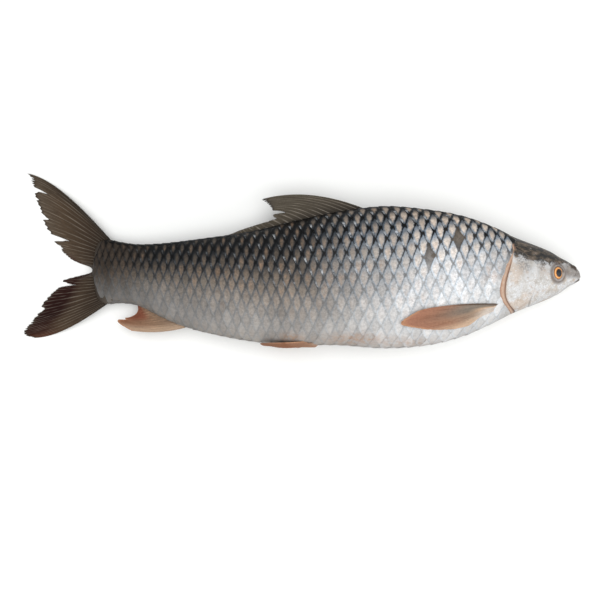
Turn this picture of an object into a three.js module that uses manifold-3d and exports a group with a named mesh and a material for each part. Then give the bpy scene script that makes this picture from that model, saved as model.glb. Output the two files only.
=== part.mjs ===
// A whole raw river carp, ungutted, lying on its left side.
//
// Millimetres. +X points to the snout, +Y to the back and +Z up, so the right flank faces up.
// The origin is the middle of the outline, on the surface that the fish lies on.
//
// The trunk and head are one loft: oval sections strung along a backbone line that sags a little
// towards the snout and the tail, pressed flat where the left flank carries the weight.
// Fins are tapering blades fanned out of the body, gill covers are plates let into the cheeks,
// and eyes are lens-shaped balls in sockets. Each is its own solid with a small gap round it.

import * as THREE from "three";
import { mergeVertices } from "three/addons/utils/BufferGeometryUtils.js";
import Module from "manifold-3d";

// ---- driving dimensions ----

const bodyLength = 402; // snout to the root of the tail fin
const bodyDepth = 115; // back to belly at the deepest section
const bodyWidth = 58; // flank to flank at the widest section
const pressFlat = 3; // how far the weight flattens the lower flank
const gap = 0.3; // between the body and each piece set into it

const tailFinLength = 66; // tail fin root to lobe tips
const tailFinSpan = 138; // tip to tip of the two lobes
const dorsalFinHeight = 18.5; // above the back, folded down
const dorsalFinTail = 24; // how far its tips trail behind the middle of its base
const analFinLength = 66; // front of the base to the tip
const analFinHeight = 18; // front of the base up to the end of the last ray
const pectoralFinLength = 80; // root to tip
const pectoralFinWidth = 18; // across the opened blade
const pelvicFinLength = 48; // root to tip
const finRoot = 2.2; // thickness of a fin where it leaves the body
const finTip = 0.9; // thickness of a fin at its free edge

const eyeDiameter = 14; // across the ball, up the face
const eyeDepth = 9; // through the ball, out of the face
const eyeProud = 1.4; // how far the ball stands out of the cheek
const coverThickness = 2.2; // gill cover plate
const coverProud = 0.7; // how far the plate stands out of the cheek

// ---- the trunk and head ----

// [along, back, belly, side, height] at each section from the snout to the tail fin root.
// along is a share of bodyLength, back and belly of bodyDepth (above and below the axis), side
// of half bodyWidth, and height of the backbone's height in the trunk.
const sections = [
  [0.0, -0.012, 0.026, 0.04, 0.54],
  [0.001, 0.008, 0.048, 0.16, 0.54],
  [0.004, 0.027, 0.062, 0.23, 0.54],
  [0.0113, 0.053, 0.076, 0.28, 0.55],
  [0.0236, 0.082, 0.097, 0.34, 0.57],
  [0.04, 0.111, 0.138, 0.42, 0.6],
  [0.065, 0.159, 0.182, 0.55, 0.66],
  [0.097, 0.201, 0.225, 0.67, 0.75],
  [0.138, 0.253, 0.279, 0.76, 0.84],
  [0.188, 0.33, 0.359, 0.83, 0.92],
  [0.245, 0.398, 0.444, 0.9, 0.98],
  [0.319, 0.444, 0.507, 0.97, 1.0],
  [0.401, 0.466, 0.526, 1.0, 1.0],
  [0.491, 0.429, 0.505, 0.97, 1.0],
  [0.573, 0.37, 0.504, 0.9, 0.97],
  [0.664, 0.296, 0.482, 0.79, 0.88],
  [0.754, 0.251, 0.426, 0.65, 0.74],
  [0.811, 0.227, 0.373, 0.55, 0.65],
  [0.861, 0.211, 0.299, 0.46, 0.57],
  [0.901, 0.207, 0.231, 0.39, 0.5],
  [0.938, 0.223, 0.211, 0.31, 0.43],
  [0.971, 0.246, 0.218, 0.22, 0.37],
  [0.99, 0.215, 0.18, 0.13, 0.34],
  [1.0, 0.05, 0.01, 0.05, 0.33],
];
const roundness = 2.15; // exponent of the oval sections; 2 is an ellipse
const ringCount = 50;
const ringPoints = 32;

const trunkHeight = bodyWidth / 2 - pressFlat;

// Knots a square root of the chord apart keep the snout round and the flanks even.
const knots = sections.reduce((found, s, i) => {
  const before = sections[i - 1];
  if (!before) return [0];
  const chord = Math.hypot(s[0] - before[0], s[1] - before[1], s[3] - before[3]);
  return [...found, found[i - 1] + chord ** 0.5];
}, []);

// A smooth curve through values at the knots: cubic pieces whose slopes weigh the two chords.
function smooth(column, q) {
  const value = (i) => sections[i][column];
  const last = sections.length - 1;
  const slope = (i) => {
    const chord = (a) => (value(a + 1) - value(a)) / (knots[a + 1] - knots[a]);
    if (i === 0) return chord(0);
    if (i === last) return chord(last - 1);
    const before = knots[i] - knots[i - 1];
    const after = knots[i + 1] - knots[i];
    return (after * chord(i - 1) + before * chord(i)) / (before + after);
  };
  let i = 0;
  while (i < last - 1 && knots[i + 1] < q) i++;
  const span = knots[i + 1] - knots[i];
  const u = (q - knots[i]) / span;
  return (
    (1 + 2 * u) * (1 - u) ** 2 * value(i) +
    u * (1 - u) ** 2 * span * slope(i) +
    u * u * (3 - 2 * u) * value(i + 1) +
    u * u * (u - 1) * span * slope(i + 1)
  );
}

// One section: where it is, its middle, and its half height and half width.
function sectionAt(q) {
  const back = smooth(1, q) * bodyDepth;
  const belly = smooth(2, q) * bodyDepth;
  return {
    x: -smooth(0, q) * bodyLength,
    y: (back - belly) / 2,
    z: smooth(4, q) * trunkHeight,
    tall: (back + belly) / 2,
    wide: (smooth(3, q) * bodyWidth) / 2,
  };
}

// The section at a share of the body's length, by halving.
function sectionAlong(along) {
  let low = 0;
  let high = knots[knots.length - 1];
  for (let i = 0; i < 40; i++) {
    const middle = (low + high) / 2;
    if (smooth(0, middle) < along) low = middle;
    else high = middle;
  }
  return sectionAt((low + high) / 2);
}

const raised = (value, power) => Math.sign(value) * Math.abs(value) ** power;

// Half the width of an oval at a height above its middle.
const arch = (share) => (1 - Math.min(1, Math.abs(share)) ** roundness) ** (1 / roundness);
const halfWidthAt = (s, y) => s.wide * arch((y - s.y) / s.tall);

// Where the belly's underside is, a distance sideways from the middle plane.
const bellyAt = (s, sideways) => s.y - s.tall * arch(sideways / s.wide);

// The body's skin moved out by a distance, as a closed solid that reaches no lower than the floor.
function loft(out, floor = -out) {
  const end = knots[knots.length - 1];
  const points = [];
  const triangles = [];
  for (let i = 0; i <= ringCount; i++) {
    const s = sectionAt((end * i) / ringCount);
    const x = s.x + (i === 0 ? out : i === ringCount ? -out : 0);
    for (let k = 0; k < ringPoints; k++) {
      const turn = (2 * Math.PI * k) / ringPoints;
      const y = s.y + Math.max(0.2, s.tall + out) * raised(Math.sin(turn), 2 / roundness);
      const z = s.z + Math.max(0.2, s.wide + out) * raised(Math.cos(turn), 2 / roundness);
      points.push(x, y, Math.max(z, floor));
    }
  }
  const at = (i, k) => i * ringPoints + (k % ringPoints);
  for (let i = 0; i < ringCount; i++)
    for (let k = 0; k < ringPoints; k++) {
      triangles.push(at(i, k), at(i + 1, k + 1), at(i + 1, k));
      triangles.push(at(i, k), at(i, k + 1), at(i + 1, k + 1));
    }
  for (let k = 1; k < ringPoints - 1; k++) {
    triangles.push(at(0, 0), at(0, k + 1), at(0, k));
    triangles.push(at(ringCount, 0), at(ringCount, k), at(ringCount, k + 1));
  }
  return geometryOf(points, triangles);
}

// ---- shared helpers ----

const wasm = await Module();
wasm.setup();

function geometryOf(points, triangles) {
  const geometry = new THREE.BufferGeometry();
  geometry.setAttribute("position", new THREE.Float32BufferAttribute(points, 3));
  geometry.setIndex(triangles);
  return geometry;
}

// A closed geometry as a solid that can be joined and cut.
function solidOf(geometry) {
  const bare = geometry.clone();
  bare.deleteAttribute("normal");
  bare.deleteAttribute("uv");
  const merged = mergeVertices(bare, 1e-4);
  return new wasm.Manifold(
    new wasm.Mesh({
      numProp: 3,
      vertProperties: merged.attributes.position.array,
      triVerts: new Uint32Array(merged.index.array),
    }),
  );
}

function geometryFrom(solid) {
  const mesh = solid.getMesh();
  return geometryOf(Array.from(mesh.vertProperties), Array.from(mesh.triVerts));
}

const mix = (a, b, share) => a + (b - a) * share;
const ease = (share) => share * share * (3 - 2 * share);

// A smooth curve through a few points, read at a share of its length from 0 to 1.
function curveThrough(points) {
  const curve = new THREE.CatmullRomCurve3(
    points.map(([x, y]) => new THREE.Vector3(x, y, 0)),
    false,
    "centripetal",
  );
  return (share) => curve.getPoint(share);
}

// A fin as a closed blade. centre(across, outward) gives its middle surface: across runs from
// the first ray to the last, and outward from the root to the free edge.
function blade(centre, acrossSteps, outwardSteps) {
  const points = [];
  const triangles = [];
  const reach = 0.002;
  for (const side of [1, -1])
    for (let i = 0; i <= acrossSteps; i++)
      for (let j = 0; j <= outwardSteps; j++) {
        const a = Math.min(1 - reach, Math.max(reach, i / acrossSteps));
        const o = Math.min(1 - reach, Math.max(reach, j / outwardSteps));
        const over = centre(a + reach, o).sub(centre(a - reach, o));
        const out = centre(a, o + reach).sub(centre(a, o - reach));
        const normal = over.cross(out).normalize();
        const half = mix(finRoot, finTip, j / outwardSteps) / 2;
        const p = centre(i / acrossSteps, j / outwardSteps).addScaledVector(normal, side * half);
        points.push(p.x, p.y, p.z);
      }
  const row = outwardSteps + 1;
  const face = row * (acrossSteps + 1);
  const at = (side, i, j) => side * face + i * row + j;
  const quad = (a, b, c, d) => triangles.push(a, b, c, a, c, d);
  for (let i = 0; i < acrossSteps; i++)
    for (let j = 0; j < outwardSteps; j++) {
      quad(at(0, i, j), at(0, i + 1, j), at(0, i + 1, j + 1), at(0, i, j + 1));
      quad(at(1, i, j), at(1, i, j + 1), at(1, i + 1, j + 1), at(1, i + 1, j));
    }
  for (let i = 0; i < acrossSteps; i++) {
    quad(at(0, i, 0), at(1, i, 0), at(1, i + 1, 0), at(0, i + 1, 0));
    const j = outwardSteps;
    quad(at(0, i, j), at(0, i + 1, j), at(1, i + 1, j), at(1, i, j));
  }
  for (let j = 0; j < outwardSteps; j++) {
    const i = acrossSteps;
    quad(at(0, 0, j), at(0, 0, j + 1), at(1, 0, j + 1), at(1, 0, j));
    quad(at(0, i, j), at(1, i, j), at(1, i, j + 1), at(0, i, j + 1));
  }
  return geometryOf(points, triangles);
}

// A ray from its root to its tip, bowed through a bend point.
function bowed(root, bend, tip, outward) {
  const back = 1 - outward;
  return new THREE.Vector3(
    back * back * root.x + 2 * back * outward * bend.x + outward * outward * tip.x,
    back * back * root.y + 2 * back * outward * bend.y + outward * outward * tip.y,
    0,
  );
}

const insideOut = (solid) => solid.volume() < 0;
const clearOfBody = solidOf(loft(gap));

// A blade trimmed to end a gap short of the skin that it grows out of.
function fin(centre, acrossSteps, outwardSteps) {
  let geometry = blade(centre, acrossSteps, outwardSteps);
  if (insideOut(solidOf(geometry))) geometry = blade((a, o) => centre(1 - a, o), acrossSteps, outwardSteps);
  return geometryFrom(solidOf(geometry).subtract(clearOfBody));
}

// ---- the fins ----

const rootDepth = 4; // how far a blade starts inside the body before it is trimmed
const onBack = (along) => {
  const s = sectionAlong(along);
  return { x: s.x, y: s.y + s.tall, z: s.z };
};
const onBelly = (along) => {
  const s = sectionAlong(along);
  return { x: s.x, y: s.y - s.tall, z: s.z };
};
const tailRoot = sectionAlong(0.985);

// The free edge of the tail fin, from the tip of the upper lobe through the fork to the lower,
// as [away from the root, up], shares of tailFinLength and tailFinSpan.
const tailFinEdge = [
  [0.96, 0.598],
  [0.87, 0.5],
  [0.78, 0.35],
  [0.62, 0.18],
  [0.44, 0.09],
  [0.12, 0.006],
  [0.52, -0.06],
  [0.65, -0.13],
  [0.88, -0.29],
  [1.0, -0.37],
  [0.88, -0.402],
];

// Fanned from the rounded end of the body; the two lobes sink until they lie on the surface.
function tailFin() {
  const rootHalf = sectionAlong(0.965).tall;
  const rootBulge = 12; // how far the middle of the root lies behind its ends
  const upperBow = 17; // how far the outermost rays bow outward
  const lowerBow = 12;
  const bowAt = 0.66; // where along the ray the bow is centred
  const edge = curveThrough(
    tailFinEdge.map(([away, up]) => [tailRoot.x - away * tailFinLength, tailRoot.y + up * tailFinSpan]),
  );
  const restHeight = finTip / 2 + 0.2;
  return (across, outward) => {
    const turn = Math.PI * (0.5 - across);
    const root = {
      x: tailRoot.x + rootBulge * Math.sin(turn) ** 2,
      y: tailRoot.y + rootHalf * 0.86 * Math.sin(turn),
    };
    const tip = edge(across);
    const lobe = Math.abs(across - 0.5) * 2;
    const bow = (across < 0.5 ? upperBow : -lowerBow) * lobe ** 3;
    const bend = {
      x: mix(root.x, tip.x, bowAt),
      y: mix(root.y, tip.y, bowAt) + bow,
    };
    const p = bowed(root, bend, tip, outward);
    p.z = mix(tailRoot.z, restHeight, ease(Math.min(1, outward * 1.25)));
    return p;
  };
}

// Folded back along the back, its first rays longest.
function dorsalFin() {
  const front = 0.437;
  const rear = 0.715;
  const middle = onBack(mix(front, rear, 0.5));
  const tipBack = middle.x - dorsalFinTail;
  const edge = curveThrough([
    [tipBack - 6, middle.y + dorsalFinHeight * 0.95],
    [tipBack - 4, middle.y + dorsalFinHeight * 0.6],
    [tipBack - 2, middle.y + dorsalFinHeight * 0.25],
    [tipBack - 14, middle.y - dorsalFinHeight * 0.15],
    [onBack(rear).x - 3, onBack(rear).y],
  ]);
  return (across, outward) => {
    const root = onBack(mix(front, rear, across));
    root.y -= rootDepth;
    const tipPoint = edge(across);
    const bend = {
      x: mix(root.x, tipPoint.x, 0.55),
      y: mix(mix(root.y, tipPoint.y, 0.5) + dorsalFinHeight * 0.92, mix(root.y, tipPoint.y, 0.5), ease(across)),
    };
    const p = bowed(root, bend, tipPoint, outward);
    p.z = root.z - 3 * outward;
    return p;
  };
}

// The free edge of the anal fin from its first ray to its last, as [back from the front of the
// base, up], shares of analFinLength and analFinHeight.
const analFinEdge = [
  [0.945, 0.04],
  [1.0, 0.33],
  [0.91, 0.45],
  [0.81, 0.55],
  [0.75, 0.75],
  [0.73, 1.0],
];

// Behind the vent, swept back.
function analFin() {
  const front = 0.785;
  const rear = 0.905;
  const leadingBow = 9; // how far the first ray bows downward
  const start = onBelly(front);
  const edge = curveThrough(
    analFinEdge.map(([back, up]) => [start.x - back * analFinLength, start.y + up * analFinHeight]),
  );
  return (across, outward) => {
    const root = onBelly(mix(front, rear, across));
    root.y += rootDepth;
    const tip = edge(across);
    const bend = {
      x: mix(root.x, tip.x, 0.5),
      y: mix(root.y, tip.y, 0.5) - leadingBow * (1 - ease(across)),
    };
    const p = bowed(root, bend, tip, outward);
    p.z = root.z - 4 * outward;
    return p;
  };
}

// Laid back along the flank, seen from the side: a long rounded paddle.
const pectoralRoot = 0.179; // share of bodyLength behind the snout
const pectoralRootDepth = 7; // how tall its root is

// The free edge of the pectoral fin from its first ray to its last, as [back from the root, down],
// shares of pectoralFinLength and pectoralFinWidth.
const pectoralFinEdge = [
  [0.75, 0.15],
  [0.92, 0.6],
  [0.98, 0.85],
  [0.94, 1.08],
  [0.72, 1.22],
  [0.5, 1.3],
];

function paddle() {
  const s = sectionAlong(pectoralRoot);
  const start = { x: s.x, y: s.y - s.tall * 0.62 };
  const edge = curveThrough(
    pectoralFinEdge.map(([back, down]) => [
      start.x - back * pectoralFinLength,
      start.y - down * pectoralFinWidth,
    ]),
  );
  return (across, outward) => {
    const root = { x: start.x, y: start.y - across * pectoralRootDepth };
    const tip = edge(across);
    const bend = {
      x: mix(root.x, tip.x, 0.5),
      y: mix(root.y, tip.y, 0.5) + mix(4, -1, across),
    };
    return bowed(root, bend, tip, outward);
  };
}

// The right one follows the flank, standing a little off it.
function rightPectoralFin() {
  const flat = paddle();
  const slope = 0.5; // mm used to find the flank's slope
  return (across, outward) => {
    const p = flat(across, outward);
    const height = (x, y) => {
      const s = sectionAlong(-x / bodyLength);
      return s.z + halfWidthAt(s, y);
    };
    const z = height(p.x, p.y);
    const normal = new THREE.Vector3(
      (height(p.x - slope, p.y) - height(p.x + slope, p.y)) / (2 * slope),
      (height(p.x, p.y - slope) - height(p.x, p.y + slope)) / (2 * slope),
      1,
    ).normalize();
    const off = mix(-rootDepth, finRoot / 2 + gap + 0.5, Math.min(1, outward * 9)) + 1.5 * outward;
    return new THREE.Vector3(p.x, p.y, z).addScaledVector(normal, off);
  };
}

// The left one lies on the surface, tucked under the curve of the flank.
function leftPectoralFin() {
  const flat = paddle();
  const root = flat(0, 0);
  const turn = -0.16; // swung towards the belly, where there is room
  const s = sectionAlong(pectoralRoot);
  const skin = s.z - halfWidthAt(s, root.y - 3);
  return (across, outward) => {
    const p = flat(across, outward).sub(root);
    p.applyAxisAngle(new THREE.Vector3(0, 0, 1), turn);
    const z = mix(skin + rootDepth, finRoot / 2 + 0.2, ease(Math.min(1, outward * 5)));
    return new THREE.Vector3(root.x + p.x, root.y + p.y, z);
  };
}

// Folded against the belly, edge on to the flank.
function pelvicFin(side) {
  const start = onBelly(0.535);
  const back = start.x - pelvicFinLength;
  const edge = curveThrough([
    [back, start.y + 2.6],
    [back + 3, start.y - 0.8],
    [back + 14, start.y - 3.6],
  ]);
  return (across, outward) => {
    const tipPoint = edge(across);
    const root = { x: start.x - 2 + 4 * across, y: start.y + mix(5, 3, across) };
    const bend = { x: mix(root.x, tipPoint.x, 0.4), y: mix(root.y, tipPoint.y, 0.6) - 2.4 };
    const p = bowed(root, bend, tipPoint, outward);
    const s = sectionAlong(-p.x / bodyLength);
    const sideways = mix(11, 3, across);
    const skin = bellyAt(s, sideways) - finRoot / 2 - gap - 0.2;
    const y = mix(p.y, Math.min(p.y, skin), ease(Math.min(1, outward * 6)));
    return new THREE.Vector3(p.x, y, s.z + side * sideways);
  };
}

// ---- the head's own pieces ----

// The cheek plate's outline as [along, up], shares of bodyLength and bodyDepth.
const coverOutline = [
  [0.103, 0.0],
  [0.105, 0.07],
  [0.12, 0.116],
  [0.137, 0.15],
  [0.15, 0.165],
  [0.156, 0.1],
  [0.162, 0.03],
  [0.169, -0.07],
  [0.17, -0.145],
  [0.163, -0.205],
  [0.146, -0.255],
  [0.127, -0.232],
  [0.1135, -0.18],
  [0.1065, -0.09],
];
const coverDepth = 60; // longer than the head is wide

// The outline pushed out by a distance and drawn up through one side of the head.
function cheekPrism(side, out) {
  const corners = coverOutline.map(([along, up]) => new THREE.Vector2(-along * bodyLength, up * bodyDepth));
  const grown = corners.map((p, i) => {
    const before = corners[(i + corners.length - 1) % corners.length];
    const after = corners[(i + 1) % corners.length];
    const way = after.clone().sub(before).normalize();
    return p.clone().add(new THREE.Vector2(way.y, -way.x).multiplyScalar(out));
  });
  const loop = new THREE.CatmullRomCurve3(
    grown.map((p) => new THREE.Vector3(p.x, p.y, 0)),
    true,
    "centripetal",
  );
  const shape = new THREE.Shape(loop.getPoints(44).slice(1).map((p) => new THREE.Vector2(p.x, p.y)));
  const prism = new THREE.ExtrudeGeometry(shape, { depth: coverDepth, bevelEnabled: false });
  const middle = sectionAlong(0.12).z;
  prism.translate(0, 0, side > 0 ? middle : middle - coverDepth);
  return solidOf(prism);
}

const coverSkin = solidOf(loft(coverProud, 0));
const coverBack = solidOf(loft(coverProud - coverThickness));
const coverSeat = solidOf(loft(coverProud - coverThickness - gap));

const gillCover = (side) => geometryFrom(coverSkin.intersect(cheekPrism(side, 0)).subtract(coverBack));
const gillRecess = (side) => cheekPrism(side, gap).subtract(coverSeat);

// A lens-shaped ball looking out of the cheek, grown by a distance for its socket.
const eyeAlong = 0.047; // share of bodyLength behind the snout
const eyeUp = 0.007; // share of bodyDepth above the axis
const eyeForward = 0.55; // how far the eye looks ahead, as a slope
function eyeball(side, out) {
  const s = sectionAlong(eyeAlong);
  const y = eyeUp * bodyDepth;
  const width = halfWidthAt(s, y);
  const normal = new THREE.Vector3(eyeForward, 0.05, 1).normalize();
  const ball = new THREE.SphereGeometry(1, 18, 10);
  ball.rotateX(Math.PI / 2);
  ball.scale(eyeDiameter * 0.46 + out, eyeDiameter / 2 + out, eyeDepth / 2 + out);
  ball.applyQuaternion(new THREE.Quaternion().setFromUnitVectors(new THREE.Vector3(0, 0, 1), normal));
  const inset = eyeDepth / 2 - eyeProud;
  ball.translate(-normal.x * inset, -normal.y * inset, width - normal.z * inset);
  if (side < 0) {
    ball.scale(1, 1, -1);
    ball.index.array.reverse();
  }
  ball.translate(s.x, y, s.z);
  return ball;
}

function body() {
  return [1, -1].reduce(
    (solid, side) => solid.subtract(solidOf(eyeball(side, gap))).subtract(gillRecess(side)),
    solidOf(loft(0)),
  );
}

// ---- materials and the finished fish ----

const wet = { roughness: 0.4, metalness: 0 };
const skin = new THREE.MeshStandardMaterial({ color: "#9a9791", ...wet });
const cheek = new THREE.MeshStandardMaterial({ color: "#d9d4cc", ...wet });
const eye = new THREE.MeshStandardMaterial({ color: "#e8a45a", roughness: 0.1, metalness: 0 });
const duskyFin = new THREE.MeshStandardMaterial({ color: "#5a4c3f", ...wet });
const ruddyFin = new THREE.MeshStandardMaterial({ color: "#b08264", ...wet });

const fish = new THREE.Group();
function add(name, geometry, material) {
  const mesh = new THREE.Mesh(geometry, material);
  mesh.name = name;
  fish.add(mesh);
}

add("body", geometryFrom(body()), skin);
add("right_gill_cover", gillCover(1), cheek);
add("left_gill_cover", gillCover(-1), cheek);
add("right_eye", eyeball(1, 0), eye);
add("left_eye", eyeball(-1, 0), eye);
add("dorsal_fin", fin(dorsalFin(), 12, 6), duskyFin);
add("tail_fin", fin(tailFin(), 24, 7), duskyFin);
add("anal_fin", fin(analFin(), 8, 6), ruddyFin);
add("right_pectoral_fin", fin(rightPectoralFin(), 8, 9), ruddyFin);
add("left_pectoral_fin", fin(leftPectoralFin(), 8, 9), ruddyFin);
add("right_pelvic_fin", fin(pelvicFin(1), 3, 8), ruddyFin);
add("left_pelvic_fin", fin(pelvicFin(-1), 3, 8), ruddyFin);

// The middle of the outline, on the surface below, becomes the origin.
const box = new THREE.Box3().setFromObject(fish, true);
const middle = box.getCenter(new THREE.Vector3());
fish.position.set(-middle.x, -middle.y, -box.min.z);

const part = new THREE.Group();
part.add(fish);

export default part;
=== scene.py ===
import functools
import math

import bpy
import numpy as np
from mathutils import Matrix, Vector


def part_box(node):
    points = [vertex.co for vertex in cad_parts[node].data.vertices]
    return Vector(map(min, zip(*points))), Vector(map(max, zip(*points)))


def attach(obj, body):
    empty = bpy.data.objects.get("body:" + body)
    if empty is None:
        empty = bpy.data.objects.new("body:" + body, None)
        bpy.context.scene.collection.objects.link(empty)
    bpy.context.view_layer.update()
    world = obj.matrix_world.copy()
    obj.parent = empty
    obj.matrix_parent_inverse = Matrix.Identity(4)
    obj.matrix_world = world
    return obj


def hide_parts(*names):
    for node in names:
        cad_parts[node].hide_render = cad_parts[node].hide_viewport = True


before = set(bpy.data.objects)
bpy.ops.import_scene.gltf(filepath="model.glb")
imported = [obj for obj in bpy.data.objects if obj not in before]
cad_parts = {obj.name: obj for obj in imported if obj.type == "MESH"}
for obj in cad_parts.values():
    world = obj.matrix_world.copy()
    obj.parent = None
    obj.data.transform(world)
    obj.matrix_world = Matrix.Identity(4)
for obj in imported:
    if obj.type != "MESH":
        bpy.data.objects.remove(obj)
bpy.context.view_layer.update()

bl_info = {
    "name": "River carp",
    "version": (1, 0, 0),
    "blender": (4, 5, 0),
    "location": "3D View > Sidebar > Carp",
    "description": "Builds a whole raw river carp lying on its left side: skin, scales, fins, eyes and stage",
    "category": "Add Mesh",
}

# Lengths are in millimetres until put_mesh() writes a mesh in metres. A place on the fish is said
# as mm behind the snout and mm up from its axis; up is towards the back of the fish.

MM = 1000.0


# ---- the fish's form, fitted to the CAD body ----

# [along, back, belly, side, height] of each section from the snout to the tail fin's root:
# shares of the length, of the depth (above and below the axis), of half the width and of the
# backbone's height in the trunk.
SECTIONS = np.array([
    [0.0, -0.012, 0.026, 0.04, 0.54],
    [0.001, 0.008, 0.048, 0.16, 0.54],
    [0.004, 0.027, 0.062, 0.23, 0.54],
    [0.0113, 0.053, 0.076, 0.28, 0.55],
    [0.0236, 0.082, 0.097, 0.34, 0.57],
    [0.04, 0.111, 0.138, 0.42, 0.6],
    [0.065, 0.159, 0.182, 0.55, 0.66],
    [0.097, 0.201, 0.225, 0.67, 0.75],
    [0.138, 0.253, 0.279, 0.76, 0.84],
    [0.188, 0.33, 0.359, 0.83, 0.92],
    [0.245, 0.398, 0.444, 0.9, 0.98],
    [0.319, 0.444, 0.507, 0.97, 1.0],
    [0.401, 0.466, 0.526, 1.0, 1.0],
    [0.491, 0.429, 0.505, 0.97, 1.0],
    [0.573, 0.37, 0.504, 0.9, 0.97],
    [0.664, 0.296, 0.482, 0.79, 0.88],
    [0.754, 0.251, 0.426, 0.65, 0.74],
    [0.811, 0.227, 0.373, 0.55, 0.65],
    [0.861, 0.211, 0.299, 0.46, 0.57],
    [0.901, 0.207, 0.231, 0.39, 0.5],
    [0.938, 0.223, 0.211, 0.31, 0.43],
    [0.971, 0.246, 0.218, 0.22, 0.37],
    [0.99, 0.215, 0.18, 0.13, 0.34],
    [1.0, 0.05, 0.01, 0.05, 0.33],
])
ROUNDNESS = 2.15  # exponent of the oval sections
PRESS_FLAT = 3.0  # how far the weight flattens the lower flank
FLOOR_BLEND = 0.8  # how softly the flank meets the surface under it
SKIN_REST = 0.7  # the skin's rest height, which leaves room for the scales under it

BODY_LOW, BODY_HIGH = (np.array(c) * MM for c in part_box("body"))
LENGTH = BODY_HIGH[0] - BODY_LOW[0]
DEPTH = (BODY_HIGH[1] - BODY_LOW[1]) / (SECTIONS[:, 1].max() + SECTIONS[:, 2].max())
WIDTH = BODY_HIGH[2] - BODY_LOW[2] + PRESS_FLAT
TRUNK_HEIGHT = WIDTH / 2 - PRESS_FLAT
SNOUT_X = BODY_HIGH[0]
AXIS_Y = BODY_HIGH[1] - SECTIONS[:, 1].max() * DEPTH

CHORDS = np.linalg.norm(np.diff(SECTIONS[:, [0, 1, 3]], axis=0), axis=1)
KNOTS = np.concatenate([[0.0], np.cumsum(np.sqrt(CHORDS))])
END = KNOTS[-1]


def smooth(column, q):
    """A column of the sections at station q: cubic pieces through the knots, whose slope at each
    knot is the mean of the two chords, each weighed by the length of the other."""
    value = SECTIONS[:, column]
    span = np.diff(KNOTS)
    chord = np.diff(value) / span
    inner = (span[1:] * chord[:-1] + span[:-1] * chord[1:]) / (span[1:] + span[:-1])
    slope = np.concatenate([[chord[0]], inner, [chord[-1]]])
    i = np.clip(np.searchsorted(KNOTS, q, side="left") - 1, 0, len(span) - 1)
    u = (q - KNOTS[i]) / span[i]
    return (
        (1 + 2 * u) * (1 - u) ** 2 * value[i]
        + u * (1 - u) ** 2 * span[i] * slope[i]
        + u * u * (3 - 2 * u) * value[i + 1]
        + u * u * (u - 1) * span[i] * slope[i + 1]
    )


FINE = np.linspace(0, END, 6000)
FINE_BEHIND = np.maximum.accumulate(smooth(0, FINE)) * LENGTH


def station(behind):
    """The station q that lies some mm behind the snout."""
    return np.interp(behind, FINE_BEHIND, FINE)


def section(q):
    """The oval at station q: mm behind the snout, height up from the axis and above the surface of
    its middle, half height and half width."""
    back = smooth(1, q) * DEPTH
    belly = smooth(2, q) * DEPTH
    return (
        smooth(0, q) * LENGTH,
        (back - belly) / 2,
        smooth(4, q) * TRUNK_HEIGHT,
        (back + belly) / 2,
        smooth(3, q) * WIDTH / 2,
    )


def raised(value, power):
    """The value's size raised to a power, with its own sign."""
    return np.sign(value) * np.abs(value) ** power


def above_floor(z):
    """z, but never below the skin's rest height: half of the rise over it plus half the root of the
    rise squared and the blend squared."""
    rise = z - SKIN_REST
    return SKIN_REST + (rise + np.sqrt(rise * rise + FLOOR_BLEND**2)) / 2


def skin(q, turn):
    """A point of the skin: on the oval of station q, at the angle turn from straight up, towards the
    back. Sine and cosine are raised to 2 / roundness, and the underside is pressed flat."""
    behind, up, z, tall, wide = section(q)
    y = up + tall * raised(np.sin(turn), 2 / ROUNDNESS)
    z = z + wide * raised(np.cos(turn), 2 / ROUNDNESS)
    return np.stack([SNOUT_X - behind + 0 * y, AXIS_Y + y, above_floor(z)], -1)


def skin_normal(q, turn):
    """The outward normal: the cross product of the skin's steps in turn and in q."""
    step = 1e-3
    low, high = np.clip(q - step, 0, END), np.clip(q + step, 0, END)
    over = skin(q, turn + step) - skin(q, turn - step)
    along = skin(high, turn) - skin(low, turn)
    return unit(np.cross(over, along))


def unit(v):
    """The vectors, each divided by its own length."""
    return v / np.maximum(np.linalg.norm(v, axis=-1, keepdims=True), 1e-12)


def turn_at(q, up, side):
    """The angle at which the skin lies up mm from the axis, on the right (1) or left (-1) flank."""
    _, middle, _, tall, _ = section(q)
    share = np.clip((up - middle) / tall, -1, 1)
    turn = np.arcsin(raised(share, ROUNDNESS / 2))
    return turn if side > 0 else np.pi - turn


def on_flank(behind, up, side, lift=0.0):
    """The point of one flank at (behind, up), lifted off the skin along its normal."""
    q = station(behind)
    turn = turn_at(q, up, side)
    lift = np.asarray(lift, float)[..., None] if np.ndim(lift) else lift
    return skin(q, turn) + lift * skin_normal(q, turn)


# ---- arithmetic shared by the pieces ----


def mix(a, b, share):
    """a moved towards b by a share of the way."""
    return a + (b - a) * share


def ease(share):
    """0 to 1 with level ends: 3 times the share squared less twice its cube."""
    share = np.clip(share, 0, 1)
    return share * share * (3 - 2 * share)


def bump(distance, width):
    """A bell: e to the power of less the square of distance over width."""
    return np.exp(-((distance / width) ** 2))


def read_off(line, x):
    """The second value of a line of straight pieces where its first value is x."""
    line = np.array(line, float)
    return np.interp(x, line[:, 0], line[:, 1])


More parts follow.
